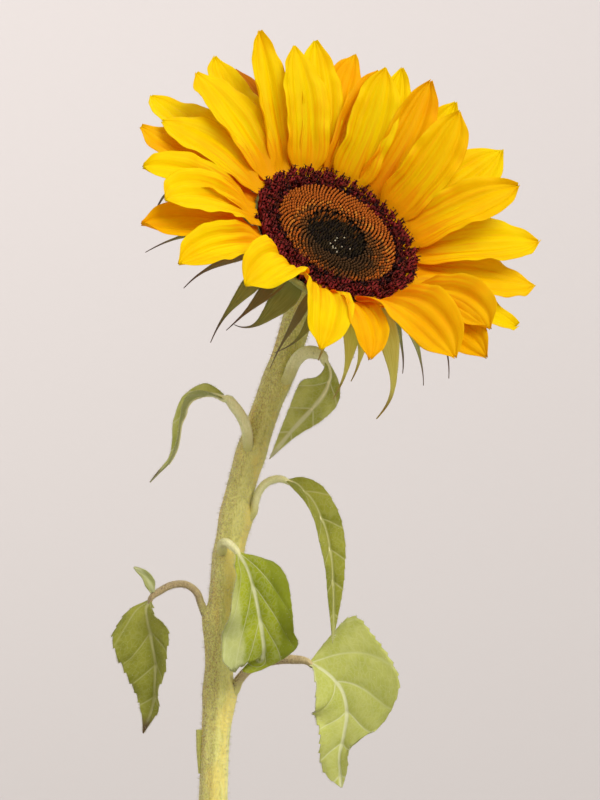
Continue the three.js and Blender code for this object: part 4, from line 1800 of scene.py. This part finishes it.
@dataclass
class BractCup:
    """The green cup behind the head and the bracts that stand round it."""

    rows: int = 84
    columns: int = 13
    thickness: float = 0.5 * MM
    hollow: float = 0.9
    margin_hairs: int = 46
    back_hairs: int = 60
    ridges: int = 24
    ridge_height: float = 0.35
    cup_rows: int = 90
    cup_sides: int = 144
    outline: tuple[Pair, ...] = (
        (0.0, 0.55), (0.10, 0.86), (0.2, 1.0), (0.34, 0.88), (0.48, 0.56),
        (0.60, 0.31), (0.72, 0.15), (0.86, 0.075), (1.0, 0.03),
    )
    profile: tuple[Pair, ...] = (
        (0.3, -15.98), (6.4, -16.0), (12.0, -13.6), (21.0, -9.8), (28.5, -6.8), (33.6, -3.0),
        (33.9, -1.4), (33.3, -0.9), (24.0, -2.0), (12.0, -2.0), (0.3, -2.0),
    )

    def bracts(self) -> list[Bract]:
        """Lists the bracts: those listed one by one, then those spread by rule behind the upper rays.

        Returns:
            All the bracts.
        """
        rng = np.random.default_rng(BRACT_SEED)
        made = list(FRONT_BRACTS)
        for k, turn in enumerate(np.arange(30.0, 175.0, 14.5)):
            vary = rng.uniform(-1, 1, 7)
            made.append(Bract(
                turn=turn + 2 * vary[0],
                foot=(OUTER_FOOT, INNER_FOOT)[k % 2],
                lift=-14 + 8 * vary[1],
                arch=42 + 16 * vary[2],
                sway=12 * vary[3],
                length=38 + 4 * vary[4],
                width=9.0,
                hook=40 * vary[5],
                side_hook=60 * vary[6],
            ))
        return made

    def build(self, head: HeadFrame, bristles: Bristles) -> None:
        """Builds the cup and its bracts.

        Args:
            head: The flower head's axes.
            bristles: Hairs of the plant.
        """
        skins = [tint.value.make() for tint in Tint]
        self._build_cup(head, skins[Tint.GREEN.slot()])
        rng = np.random.default_rng(BRACT_SEED + 1)
        width = np.linspace(-1, 1, self.columns)
        along = np.linspace(0, 1, self.rows)
        chart = np.stack(np.meshgrid(width, along), axis=-1)
        thickness = self.thickness * (1 - 0.5 * width[None] ** 4) * (1 - 0.35 * along[:, None])
        parts = MeshParts()
        for bract in self.bracts():
            surface = head.world(self._blade(bract))
            parts.add_shell(surface, thickness, chart, (bract.tint.slot(), bract.tint.slot()))
            bristles.line_margins(rng, surface, (2, int(0.6 * self.rows)), self.margin_hairs, 0.2, 0.7 * MM)
            row = rng.integers(2, int(0.5 * self.rows), self.back_hairs)
            column = rng.integers(1, self.columns - 1, self.back_hairs)
            back = -surface_normals(surface)[row, column]
            bristles.grow(rng, surface[row, column] + 0.2 * MM * back, back, 0.0, 0.6 * MM)
        parts.make("bracts", skins, "bract")

    def _blade(self, bract: Bract) -> Array:
        """Bends one bract.

        Args:
            bract: The bract.

        Returns:
            Its middle surface in the head's axes, from foot to tip.
        """
        share = np.linspace(0, 1, self.rows)
        late = ease(share, 0.55, 1.0)
        pitch = np.radians(bract.lift - bract.arch * share + bract.hook * late)
        yaw = np.radians(bract.turn + bract.sway * share + bract.side_hook * late)
        along = np.stack([np.cos(pitch) * np.cos(yaw), np.cos(pitch) * np.sin(yaw), np.sin(pitch)], axis=-1)
        step = bract.length * MM / (self.rows - 1)
        turn = math.radians(bract.turn)
        start = HeadFrame.ring_point(bract.foot[0] * MM, turn, bract.foot[1] * MM)
        path = start + np.concatenate([np.zeros((1, 3)), np.cumsum(along[:-1] * step, axis=0)])
        across = np.stack([-np.sin(yaw), np.cos(yaw), np.zeros_like(yaw)], axis=-1)
        face = np.cross(along, across)
        knots = np.array(self.outline)
        half = 0.5 * bract.width * MM * np.interp(share, knots[:, 0], knots[:, 1])
        width = np.linspace(-1, 1, self.columns)
        rise = self.hollow * (width**2 * 0.35 + np.abs(width) * 0.12)
        grid = path[:, None] + across[:, None] * (half[:, None] * width)[..., None]
        return grid + face[:, None] * (half[:, None] * rise)[..., None]

    def _build_cup(self, head: HeadFrame, skin: Material) -> None:
        """Builds the cup, a turned body with shallow ridges.

        Args:
            head: The flower head's axes.
            skin: Finish of the cup.
        """
        knots = np.array(self.profile)
        run = path_lengths(knots)
        at = np.linspace(0, run[-1], self.cup_rows)
        radius, height = np.interp(at, run, knots[:, 0]), np.interp(at, run, knots[:, 1])
        turn = circle(self.cup_sides)
        fade = ease(at, 8.0, 16.0) * (1 - ease(at, 24.0, 32.0))
        ridge = self.ridge_height * np.cos(self.ridges * turn)[None] * fade[:, None]
        rings = head.ring_point((radius[:, None] + ridge) * MM, turn[None], height[:, None] * MM)
        rings += (head.oval(rings) - rings) * ease(radius, 14.0, 30.0)[:, None, None]
        across = np.sin(0.5 * self.ridges * turn)[None]
        chart = np.stack(np.broadcast_arrays(across, 0.3 * at[:, None] / run[-1]), axis=-1)
        parts = MeshParts()
        parts.add_rings(head.world(rings), chart)
        piece = parts.make("cup_skin", [skin], "bract")
        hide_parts("bract_cup")


@dataclass(frozen=True)
class Sprig:
    """A small shape repeated over the disc: points, faces and the slot of each face."""

    points: Array
    faces: Array
    slots: Array

    @staticmethod
    def joined(sprigs: "list[Sprig]") -> "Sprig":
        """Joins several sprigs.

        Args:
            sprigs: The sprigs.

        Returns:
            One sprig with all their faces.
        """
        shift = np.cumsum([0] + [len(s.points) for s in sprigs[:-1]])
        faces = np.concatenate([s.faces + k for s, k in zip(sprigs, shift)])
        points = np.concatenate([s.points for s in sprigs])
        return Sprig(points, faces, np.concatenate([s.slots for s in sprigs]))

    @staticmethod
    def turned(
        profile: list[Pair], sides: int, slot: int, lobe: float = 0.0, low: tuple[int, int] = (0, 0)
    ) -> "Sprig":
        """Makes a closed spindle about the upright axis.

        Args:
            profile: Radii and heights from foot to tip, in millimetres.
            sides: Number of sides.
            slot: Slot of its faces.
            lobe: Share by which every other side stands out.
            low: How many rows of walls, from the foot, take another slot, and that slot.

        Returns:
            The sprig.
        """
        even = np.arange(sides) % 2 == 0
        swell = 1 + lobe * np.where(even, 1, -1)
        radius, height = np.array(profile, dtype=float).T[..., None]
        rings = HeadFrame.ring_point(radius * swell, circle(sides), height)
        axis = [[0, 0, height[0, 0]], [0, 0, height[-1, 0]]]
        quads = grid_faces(len(profile), sides, closed=True)
        faces = np.concatenate([quads[:, [0, 1, 2]], quads[:, [0, 2, 3]], end_fans(len(profile), sides)])
        slots = np.full(len(faces), slot)
        slots[: 2 * len(quads)][np.tile(np.arange(len(quads)) // sides, 2) < low[0]] = low[1]
        return Sprig(np.concatenate([rings.reshape(-1, 3), axis]) * MM, faces, slots)

    def bent(self, offset: Place, lean: float, turn: float) -> "Sprig":
        """Leans the sprig outward, turns it and moves it.

        Args:
            offset: Move in millimetres.
            lean: Lean in degrees.
            turn: Turn in degrees.

        Returns:
            The moved sprig.
        """
        a, b = math.radians(lean), math.radians(turn)
        tilt = np.array([[math.cos(a), 0, math.sin(a)], [0, 1, 0], [-math.sin(a), 0, math.cos(a)]])
        spin = np.array([[math.cos(b), -math.sin(b), 0], [math.sin(b), math.cos(b), 0], [0, 0, 1]])
        return Sprig(self.points @ tilt.T @ spin.T + np.array(offset) * MM, self.faces, self.slots)


class Paint(Enum):
    """Colours of the florets' parts and, with its own roughness and gloss, of the bed under them."""

    FLORET_WINE = ((0.115, 0.007, 0.005),)
    FLORET_DUSK = ((0.024, 0.003, 0.003),)
    FLORET_EMBER = ((0.20, 0.03, 0.008),)
    FLORET_CRIMSON = ((0.22, 0.014, 0.013),)
    BUD_RUST = ((0.50, 0.130, 0.014),)
    BUD_AMBER = ((0.66, 0.24, 0.030),)
    BUD_BROWN = ((0.190, 0.068, 0.014),)
    BUD_DARK = ((0.075, 0.036, 0.012),)
    CENTRE_OLIVE = ((0.046, 0.030, 0.012),)
    CENTRE_SLATE = ((0.024, 0.017, 0.012),)
    CENTRE_CREAM = ((0.60, 0.54, 0.38),)
    DISC_BED = ((0.012, 0.006, 0.004), 0.8, 0.1)

    def make(self) -> Material:
        """Builds the finish."""
        return FloretFinish(self.name.lower(), *self.value).make()


@dataclass
class DiscZone:
    """One ring of the disc: florets set by the golden angle on a dark bed.

    Radii, heights, spacing and the heart are in millimetres and the lean is in degrees. The kinds of floret
    follow each other outward from the heart, as far as the reach where that is wider. The heart sits below
    and right of the middle, so the darker kinds gather on that side, partly as painted shade.
    """

    name: str
    node: str
    slot: str
    inner: float
    outer: float
    sprigs: list[Sprig]
    paints: tuple[Paint, ...]
    tops: tuple[Pair, ...]
    bed: float
    lean: float
    spacing: float
    chance: float
    seed: int
    mingle: float = 0.8
    rare: Sprig | None = None
    # Below and right of the middle: the darker florets gather there, partly as painted shade.
    heart: Pair = (3.0, -5.2)
    reach: float = 0.0
    bed_sides: int = 120

    def build(self, head: HeadFrame, finishes: dict[Paint, Material]) -> None:
        """Builds the zone's florets and bed.

        Args:
            head: The flower head's axes.
            finishes: Finish for each paint.
        """
        rng = np.random.default_rng(self.seed)
        order = np.arange(1, int((self.outer / self.spacing) ** 2) + 1)
        radius = self.spacing * np.sqrt(order - 0.5)
        turn = order * GOLDEN_ANGLE
        keep = radius >= self.inner
        radius, turn = radius[keep], turn[keep]
        which = self._kinds(radius, turn, rng)
        parts = MeshParts()
        for kind, sprig in enumerate([*self.sprigs, self.rare] if self.rare else self.sprigs):
            chosen = which == kind
            if chosen.any():
                self._plant(parts, head, sprig, radius[chosen], turn[chosen], rng)
        self._lay_bed(parts, head)
        skins = [finishes[paint] for paint in (*self.paints, Paint.DISC_BED)]
        piece = parts.make(self.name, skins, self.slot)
        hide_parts(self.node)

    def _kinds(self, radius: Array, turn: Array, rng: Generator) -> Array:
        """Chooses a kind of floret for each place, mingled by chance.

        Args:
            radius: Radii of the places, in millimetres.
            turn: Turns of the places, in radians.
            rng: Source of chance.

        Returns:
            Number of the kind at each place; the rare kind's comes after the others.
        """
        # Distance from the off-centre heart, which puts the darker kinds to the lower right, partly as
        # painted shade.
        away = np.hypot(radius * np.cos(turn) - self.heart[0], radius * np.sin(turn) - self.heart[1])
        share = (away - self.inner) / (max(self.reach, self.outer) - self.inner)
        which = np.floor(len(self.sprigs) * share + self.mingle * rng.normal(0, 1, len(radius)))
        which = np.clip(which, 0, len(self.sprigs) - 1)
        if self.rare is not None:
            which[rng.random(len(share)) < 0.3 * bump_at(away, 0.0, 4.6)] = len(self.sprigs)
        return which

    def _plant(
        self, parts: MeshParts, head: HeadFrame, sprig: Sprig, radius: Array, turn: Array, rng: Generator
    ) -> None:
        """Plants one kind of floret.

        Args:
            parts: Mesh that takes them.
            head: The flower head's axes.
            sprig: The floret.
            radius: Radii of the places, in millimetres.
            turn: Turns of the places, in radians.
            rng: Source of chance.
        """
        count = len(radius)
        knots = np.array(self.tops)
        full = sprig.points[:, 2].max() / MM
        height = np.interp(radius, knots[:, 0], knots[:, 1]) - self.bed
        size = height / full * (1 + self.chance * rng.uniform(-1, 0.6, count))
        lean = np.radians(self.lean * (radius / self.outer) + 40 * self.chance * rng.normal(0, 1, count))
        out = head.ring_point(np.ones(count), turn, np.zeros(count))
        side = np.cross(UP, out)
        tilt = np.radians(30 * self.chance * rng.normal(0, 1, count))
        up = unit(UP + out * np.tan(lean)[:, None] + side * np.tan(tilt)[:, None])
        first = unit(out - up * (out * up).sum(axis=1, keepdims=True))
        second = np.cross(up, first)
        spin = rng.uniform(0, 2 * math.pi, count)
        across = first * np.cos(spin)[:, None] + second * np.sin(spin)[:, None]
        other = np.cross(up, across)
        wide = 1 + 0.5 * self.chance * rng.normal(0, 1, count)
        basis = np.stack([across * wide[:, None], other * wide[:, None], up * size[:, None]], axis=1)
        foot = head.oval(head.ring_point(radius * MM, turn, np.full(count, self.bed * MM)))
        points = foot[:, None] + np.einsum("pk,fkc->fpc", sprig.points, basis)
        faces = (sprig.faces[None] + len(sprig.points) * np.arange(count)[:, None, None]).reshape(-1, 3)
        chart = np.zeros((points.shape[0] * points.shape[1], 2))
        parts.add(head.world(points.reshape(-1, 3)), faces, np.tile(sprig.slots, count), chart)

    def _lay_bed(self, parts: MeshParts, head: HeadFrame) -> None:
        """Lays the dark bed that the florets stand on, a closed ring or disc.

        Args:
            parts: Mesh that takes it.
            head: The flower head's axes.
        """
        turn = circle(self.bed_sides)
        low = self.bed - 1.2
        inner = max(self.inner, 0.05)
        profile = [(inner, low), (self.outer, low), (self.outer, self.bed + 0.15), (inner, self.bed + 0.25)]
        rings = np.array([head.oval(head.ring_point(r * MM, turn, z * MM)) for r, z in profile])
        count = len(profile) * self.bed_sides
        faces = grid_faces(len(profile) + 1, self.bed_sides, closed=True) % count
        points = head.world(rings)
        parts.add(points, faces, len(self.paints), np.zeros((count, 2)))


@dataclass
class Disc:
    """The disc of the head: open florets, florets in bud and the green centre."""

    def build(self, head: HeadFrame) -> None:
        """Builds the three zones.

        Args:
            head: The flower head's axes.
        """
        finishes = {paint: paint.make() for paint in Paint}
        zones = (
            DiscZone(
                "open_florets", "disc_open_florets", "open_floret", inner=24.0, outer=31.9,
                sprigs=self._open_florets(),
                paints=(Paint.FLORET_WINE, Paint.FLORET_DUSK, Paint.FLORET_EMBER, Paint.FLORET_CRIMSON),
                tops=((24.0, 4.4), (27.0, 5.6), (31.0, 5.4), (32.4, 4.6)),
                bed=-1.2, lean=16.0, spacing=0.92, chance=0.24, seed=41, mingle=1.6, heart=(0.0, 0.0),
            ),
            DiscZone(
                "florets_in_bud", "disc_florets_in_bud", "floret_bud", inner=12.2, outer=24.3,
                sprigs=self._buds(),
                paints=(Paint.BUD_BROWN, Paint.BUD_RUST, Paint.BUD_AMBER, Paint.BUD_DARK),
                tops=((12.2, 2.6), (18.0, 3.6), (24.1, 3.5)),
                bed=0.2, lean=6.0, spacing=0.74, chance=0.05, seed=42,
            ),
            DiscZone(
                "green_centre", "disc_green_centre", "disc_centre", inner=0.4, outer=12.0,
                sprigs=self._centre(),
                paints=(
                    Paint.CENTRE_OLIVE, Paint.CENTRE_SLATE, Paint.CENTRE_CREAM,
                    Paint.BUD_BROWN, Paint.BUD_RUST,
                ),
                tops=((0.0, 1.3), (11.9, 2.5)),
                bed=-0.5, lean=0.0, spacing=0.68, chance=0.12, seed=43, reach=20.5, rare=self._speck(),
            ),
        )
        for zone in zones:
            zone.build(head, finishes)

    def _open_florets(self) -> list[Sprig]:
        """Makes the florets from those just opening to those wide open.

        Returns:
            Florets of a tube with lobes, a dark column and a forked tip.
        """
        made = []
        kinds = ((0.5, 1, 2), (0.8, 0, 0), (1.0, 0, 1), (1.1, 3, 2), (1.2, 3, 3))
        for kind, (opening, skin, tip) in enumerate(kinds):
            shape = [(0.36, 0), (0.42, 1.6), (0.52, 3.2), (0.5 + 0.42 * opening, 4.3), (0.32, 3.8)]
            tube = Sprig.turned(shape, 10, skin, 0.2)
            column = Sprig.turned([(0.2, 3.2), (0.27, 4.5), (0.24, 5.4), (0.08, 5.8)], 5, 1)
            prong = Sprig.turned([(0.13, 0), (0.14, 0.6), (0.05, 1.2)], 4, tip)
            fork = [prong.bent((0.08, 0, 5.2), 50.0 + 8 * kind, 37 * kind + turn) for turn in (0, 180)]
            made.append(Sprig.joined([tube, column, *fork]))
        return made

    def _buds(self) -> list[Sprig]:
        """Makes the pointed buds.

        Returns:
            Buds that are brown inward, then rust, then with amber among them.
        """
        shape = [(0.32, 0), (0.46, 1.4), (0.5, 2.5), (0.4, 3.1), (0.1, 3.6)]
        return [Sprig.turned(shape, 6, slot, 0.08, (2, 4)) for slot in (3, 3, 0, 0, 0, 1, 0, 1, 2, 1, 1, 1)]

    def _centre(self) -> list[Sprig]:
        """Makes the small buds of the centre.

        Returns:
            Buds that are olive and slate inward, then brown and rust.
        """
        shape = [(0.3, 0), (0.4, 1.0), (0.25, 1.8), (0.05, 2.4)]
        return [Sprig.turned(shape, 5, slot, 0.1, (1, 5)) for slot in (0, 1, 0, 1, 0, 1, 3, 4)]

    def _speck(self) -> Sprig:
        """Makes a bud of the centre with a pale tip."""
        bud = Sprig.turned([(0.3, 0), (0.4, 1.0), (0.25, 1.8), (0.05, 2.2)], 5, 0, 0.1)
        return Sprig.joined([bud, Sprig.turned([(0.1, 1.8), (0.3, 2.1), (0.22, 2.5), (0.06, 2.7)], 5, 2)])


# -------- stage, light and camera


@dataclass
class Studio:
    """The round pale backdrop, the soft light and the camera. Angles are in degrees."""

    radius: float = 6.0
    cove: float = 4.5
    cove_angle: float = 74.0
    cove_rows: int = 22
    sides: int = 96
    key_strength: float = 3.4
    key_colour: Colour = (1.0, 0.97, 0.93)
    key_width: float = 48.0
    key_tilt: Place = (57.0, 0.0, 42.0)
    sky: Colour = (1.0, 0.985, 0.975)
    fill: float = 0.90
    lens: float = 132.0
    sensor: float = 36.0
    viewpoint: Place = (0.0356, -1.1, 0.48)

    def build(self) -> None:
        """Builds the backdrop, light and camera."""
        self._build_backdrop()
        self._build_light()
        self._build_camera()

    def _build_backdrop(self) -> None:
        """Builds the floor that runs up into a round wall."""
        arc = np.linspace(0, math.radians(self.cove_angle), self.cove_rows)
        flat = self.radius - self.cove
        profile = [(0.02, 0.0), (0.3, 0.0), (0.9, 0.0)]
        profile += [(flat + self.cove * math.sin(a), self.cove * (1 - math.cos(a))) for a in arc]
        radius, height = np.array(profile).T[..., None]
        rings = HeadFrame.ring_point(radius, circle(self.sides), height)
        mesh = bpy.data.meshes.new("backdrop")
        faces = grid_faces(len(profile), self.sides, closed=True)[:, ::-1].tolist()
        mesh.from_pydata(rings.reshape(-1, 3).tolist(), [], faces + [list(range(self.sides))])
        mesh.polygons.foreach_set("use_smooth", np.ones(len(mesh.polygons), dtype=bool))
        mesh.materials.append(StageFinish("backdrop_paper").make())
        backdrop = bpy.data.objects.new("backdrop", mesh)
        bpy.context.scene.collection.objects.link(backdrop)

    def _build_light(self) -> None:
        """Sets the soft sky and the key light from the upper right."""
        world = bpy.data.worlds.new("studio")
        world.use_nodes = True
        sky = world.node_tree.nodes["Background"]
        sky.inputs[0].default_value = (*self.sky, 1.0)
        sky.inputs[1].default_value = self.fill
        bpy.context.scene.world = world
        lamp = bpy.data.lights.new("key", "SUN")
        lamp.energy = self.key_strength
        lamp.color = self.key_colour
        lamp.angle = math.radians(self.key_width)
        key = bpy.data.objects.new("key", lamp)
        key.rotation_euler = tuple(math.radians(angle) for angle in self.key_tilt)
        bpy.context.scene.collection.objects.link(key)
        bpy.context.scene.view_settings.view_transform = "Standard"

    def _build_camera(self) -> None:
        """Sets the level camera in front of the head and the upper stem."""
        lens = bpy.data.cameras.new("front")
        lens.sensor_width = self.sensor
        lens.lens = self.lens
        camera = bpy.data.objects.new("front", lens)
        camera.location = self.viewpoint
        camera.rotation_euler = (math.radians(90), 0.0, 0.0)
        bpy.context.scene.collection.objects.link(camera)
        bpy.context.scene.camera = camera


# -------- plant


LOBE = BasalLobe(
    points=(
        (-19.5 * MM, -3.0 * MM, 408.0 * MM),
        (-20.5 * MM, -3.5 * MM, 411.0 * MM),
        (-22.5 * MM, -3.5 * MM, 414.5 * MM),
        (-26.5 * MM, -3.0 * MM, 417.5 * MM),
    ),
    width=5.0 * MM,
    seed=520,
)
LEAVES = (
    Leaf(
        1, Tone.DUSTY, 0.15 * MM, 0.6 * MM, 501, wing=2.9 * MM, fold=1.2 * MM, skin=Skin.PALE,
        stalk_swell=1.6, foot_flare=-0.9, start=0.5, start_run=18 * MM, belly=1.25, twist=44.0,
    ),
    Leaf(
        2, Tone.DUSTY, 0.15 * MM, 0.4 * MM, 502, wing=2.1 * MM, fold=1.4 * MM, skin=Skin.PALE,
        stalk_swell=1.3, foot_flare=-0.9, start=0.3, start_run=16 * MM, twist=34.0,
    ),
    Leaf(3, Tone.OLIVE, 0.3 * MM, 0.6 * MM, 503, wing=1.3 * MM, fold=0.8 * MM, skin=Skin.PALE),
    Leaf(
        4, Tone.FANNED, 0.2 * MM, 2.7 * MM, 504, vein_rise=2.3, vein_spacing=13 * MM, fold=3.2 * MM,
        skin=Skin.PALE, start=0.7,
    ),
    Leaf(5, Tone.AGED, 0.8 * MM, 1.5 * MM, 505, fold=1.8 * MM, skin=Skin.STAINED),
    Leaf(6, Tone.PALE, 0.9 * MM, 1.6 * MM, 506, fold=1.6 * MM, skin=Skin.STAINED, stalk_swell=1.25),
    *(
        Leaf(number, tone, 1.0 * MM, 1.3 * MM, 500 + number)
        for number, tone in enumerate((Tone.FRESH, Tone.OLIVE, Tone.FRESH, Tone.PALE, Tone.OLIVE), start=7)
    ),
)
WIDTHS = dict.fromkeys(range(1, PETAL_COUNT + 1), 1.16) | {
    1: 1.5, 2: 1.5, 3: 1.4, 5: 1.3, 13: 1.3, 16: 1.2, 17: 1.45,
    18: 1.5, 19: 1.6, 20: 1.55, 21: 1.6, 22: 1.5, 23: 1.4, 31: 1.3,
}
# Petals that sit in shade take the oranger SHADE_GOLD and SHADE_ORANGE hues as painted shade, and petal 15
# is dried.
HUES = (
    dict.fromkeys(range(1, PETAL_COUNT + 1), Hue.CLEAR)
    | dict.fromkeys((2, 4, 6), Hue.SHADE_GOLD)
    | dict.fromkeys((8, 11, 12, 21, 24, 28, 29, 30, 31), Hue.SHADE_ORANGE)
    | {15: Hue.DRY}
)


def main() -> None:
    """Builds every piece in order."""
    logging.basicConfig(level=logging.INFO, format="%(name)s %(message)s")
    rng = np.random.default_rng(STEM_SEED)
    bristles, down = Bristles(), Bristles()
    stem = Stem()
    marks = [leaf.read(stem) for leaf in LEAVES]
    stem.build(marks, bristles, rng)
    skins = {skin: skin.make() for skin in Skin}
    LeafStub().build(skins[Skin.GREEN], bristles, rng)
    faces = {tone: tone.upper() for tone in Tone}
    under = LeafFinish("leaf_back", (0.53, 0.56, 0.22), (0.42, 0.46, 0.15), (0.64, 0.66, 0.36)).make()
    for leaf in LEAVES:
        leaf.build(faces, under, skins, down)
    LOBE.build(faces[Tone.PALE], under, down)
    head = HeadFrame()
    hues = {hue: hue.make() for hue in Hue}
    for number in range(1, PETAL_COUNT + 1):
        Ray(number, HUES[number], WIDTHS[number]).build(head, hues)
    BractCup().build(head, down)
    Disc().build(head)
    bristles.make("stem_bristles", "stem")
    down.make("leaf_bristles", "leaf")
    Studio().build()


if __name__ == "__main__":
    main()
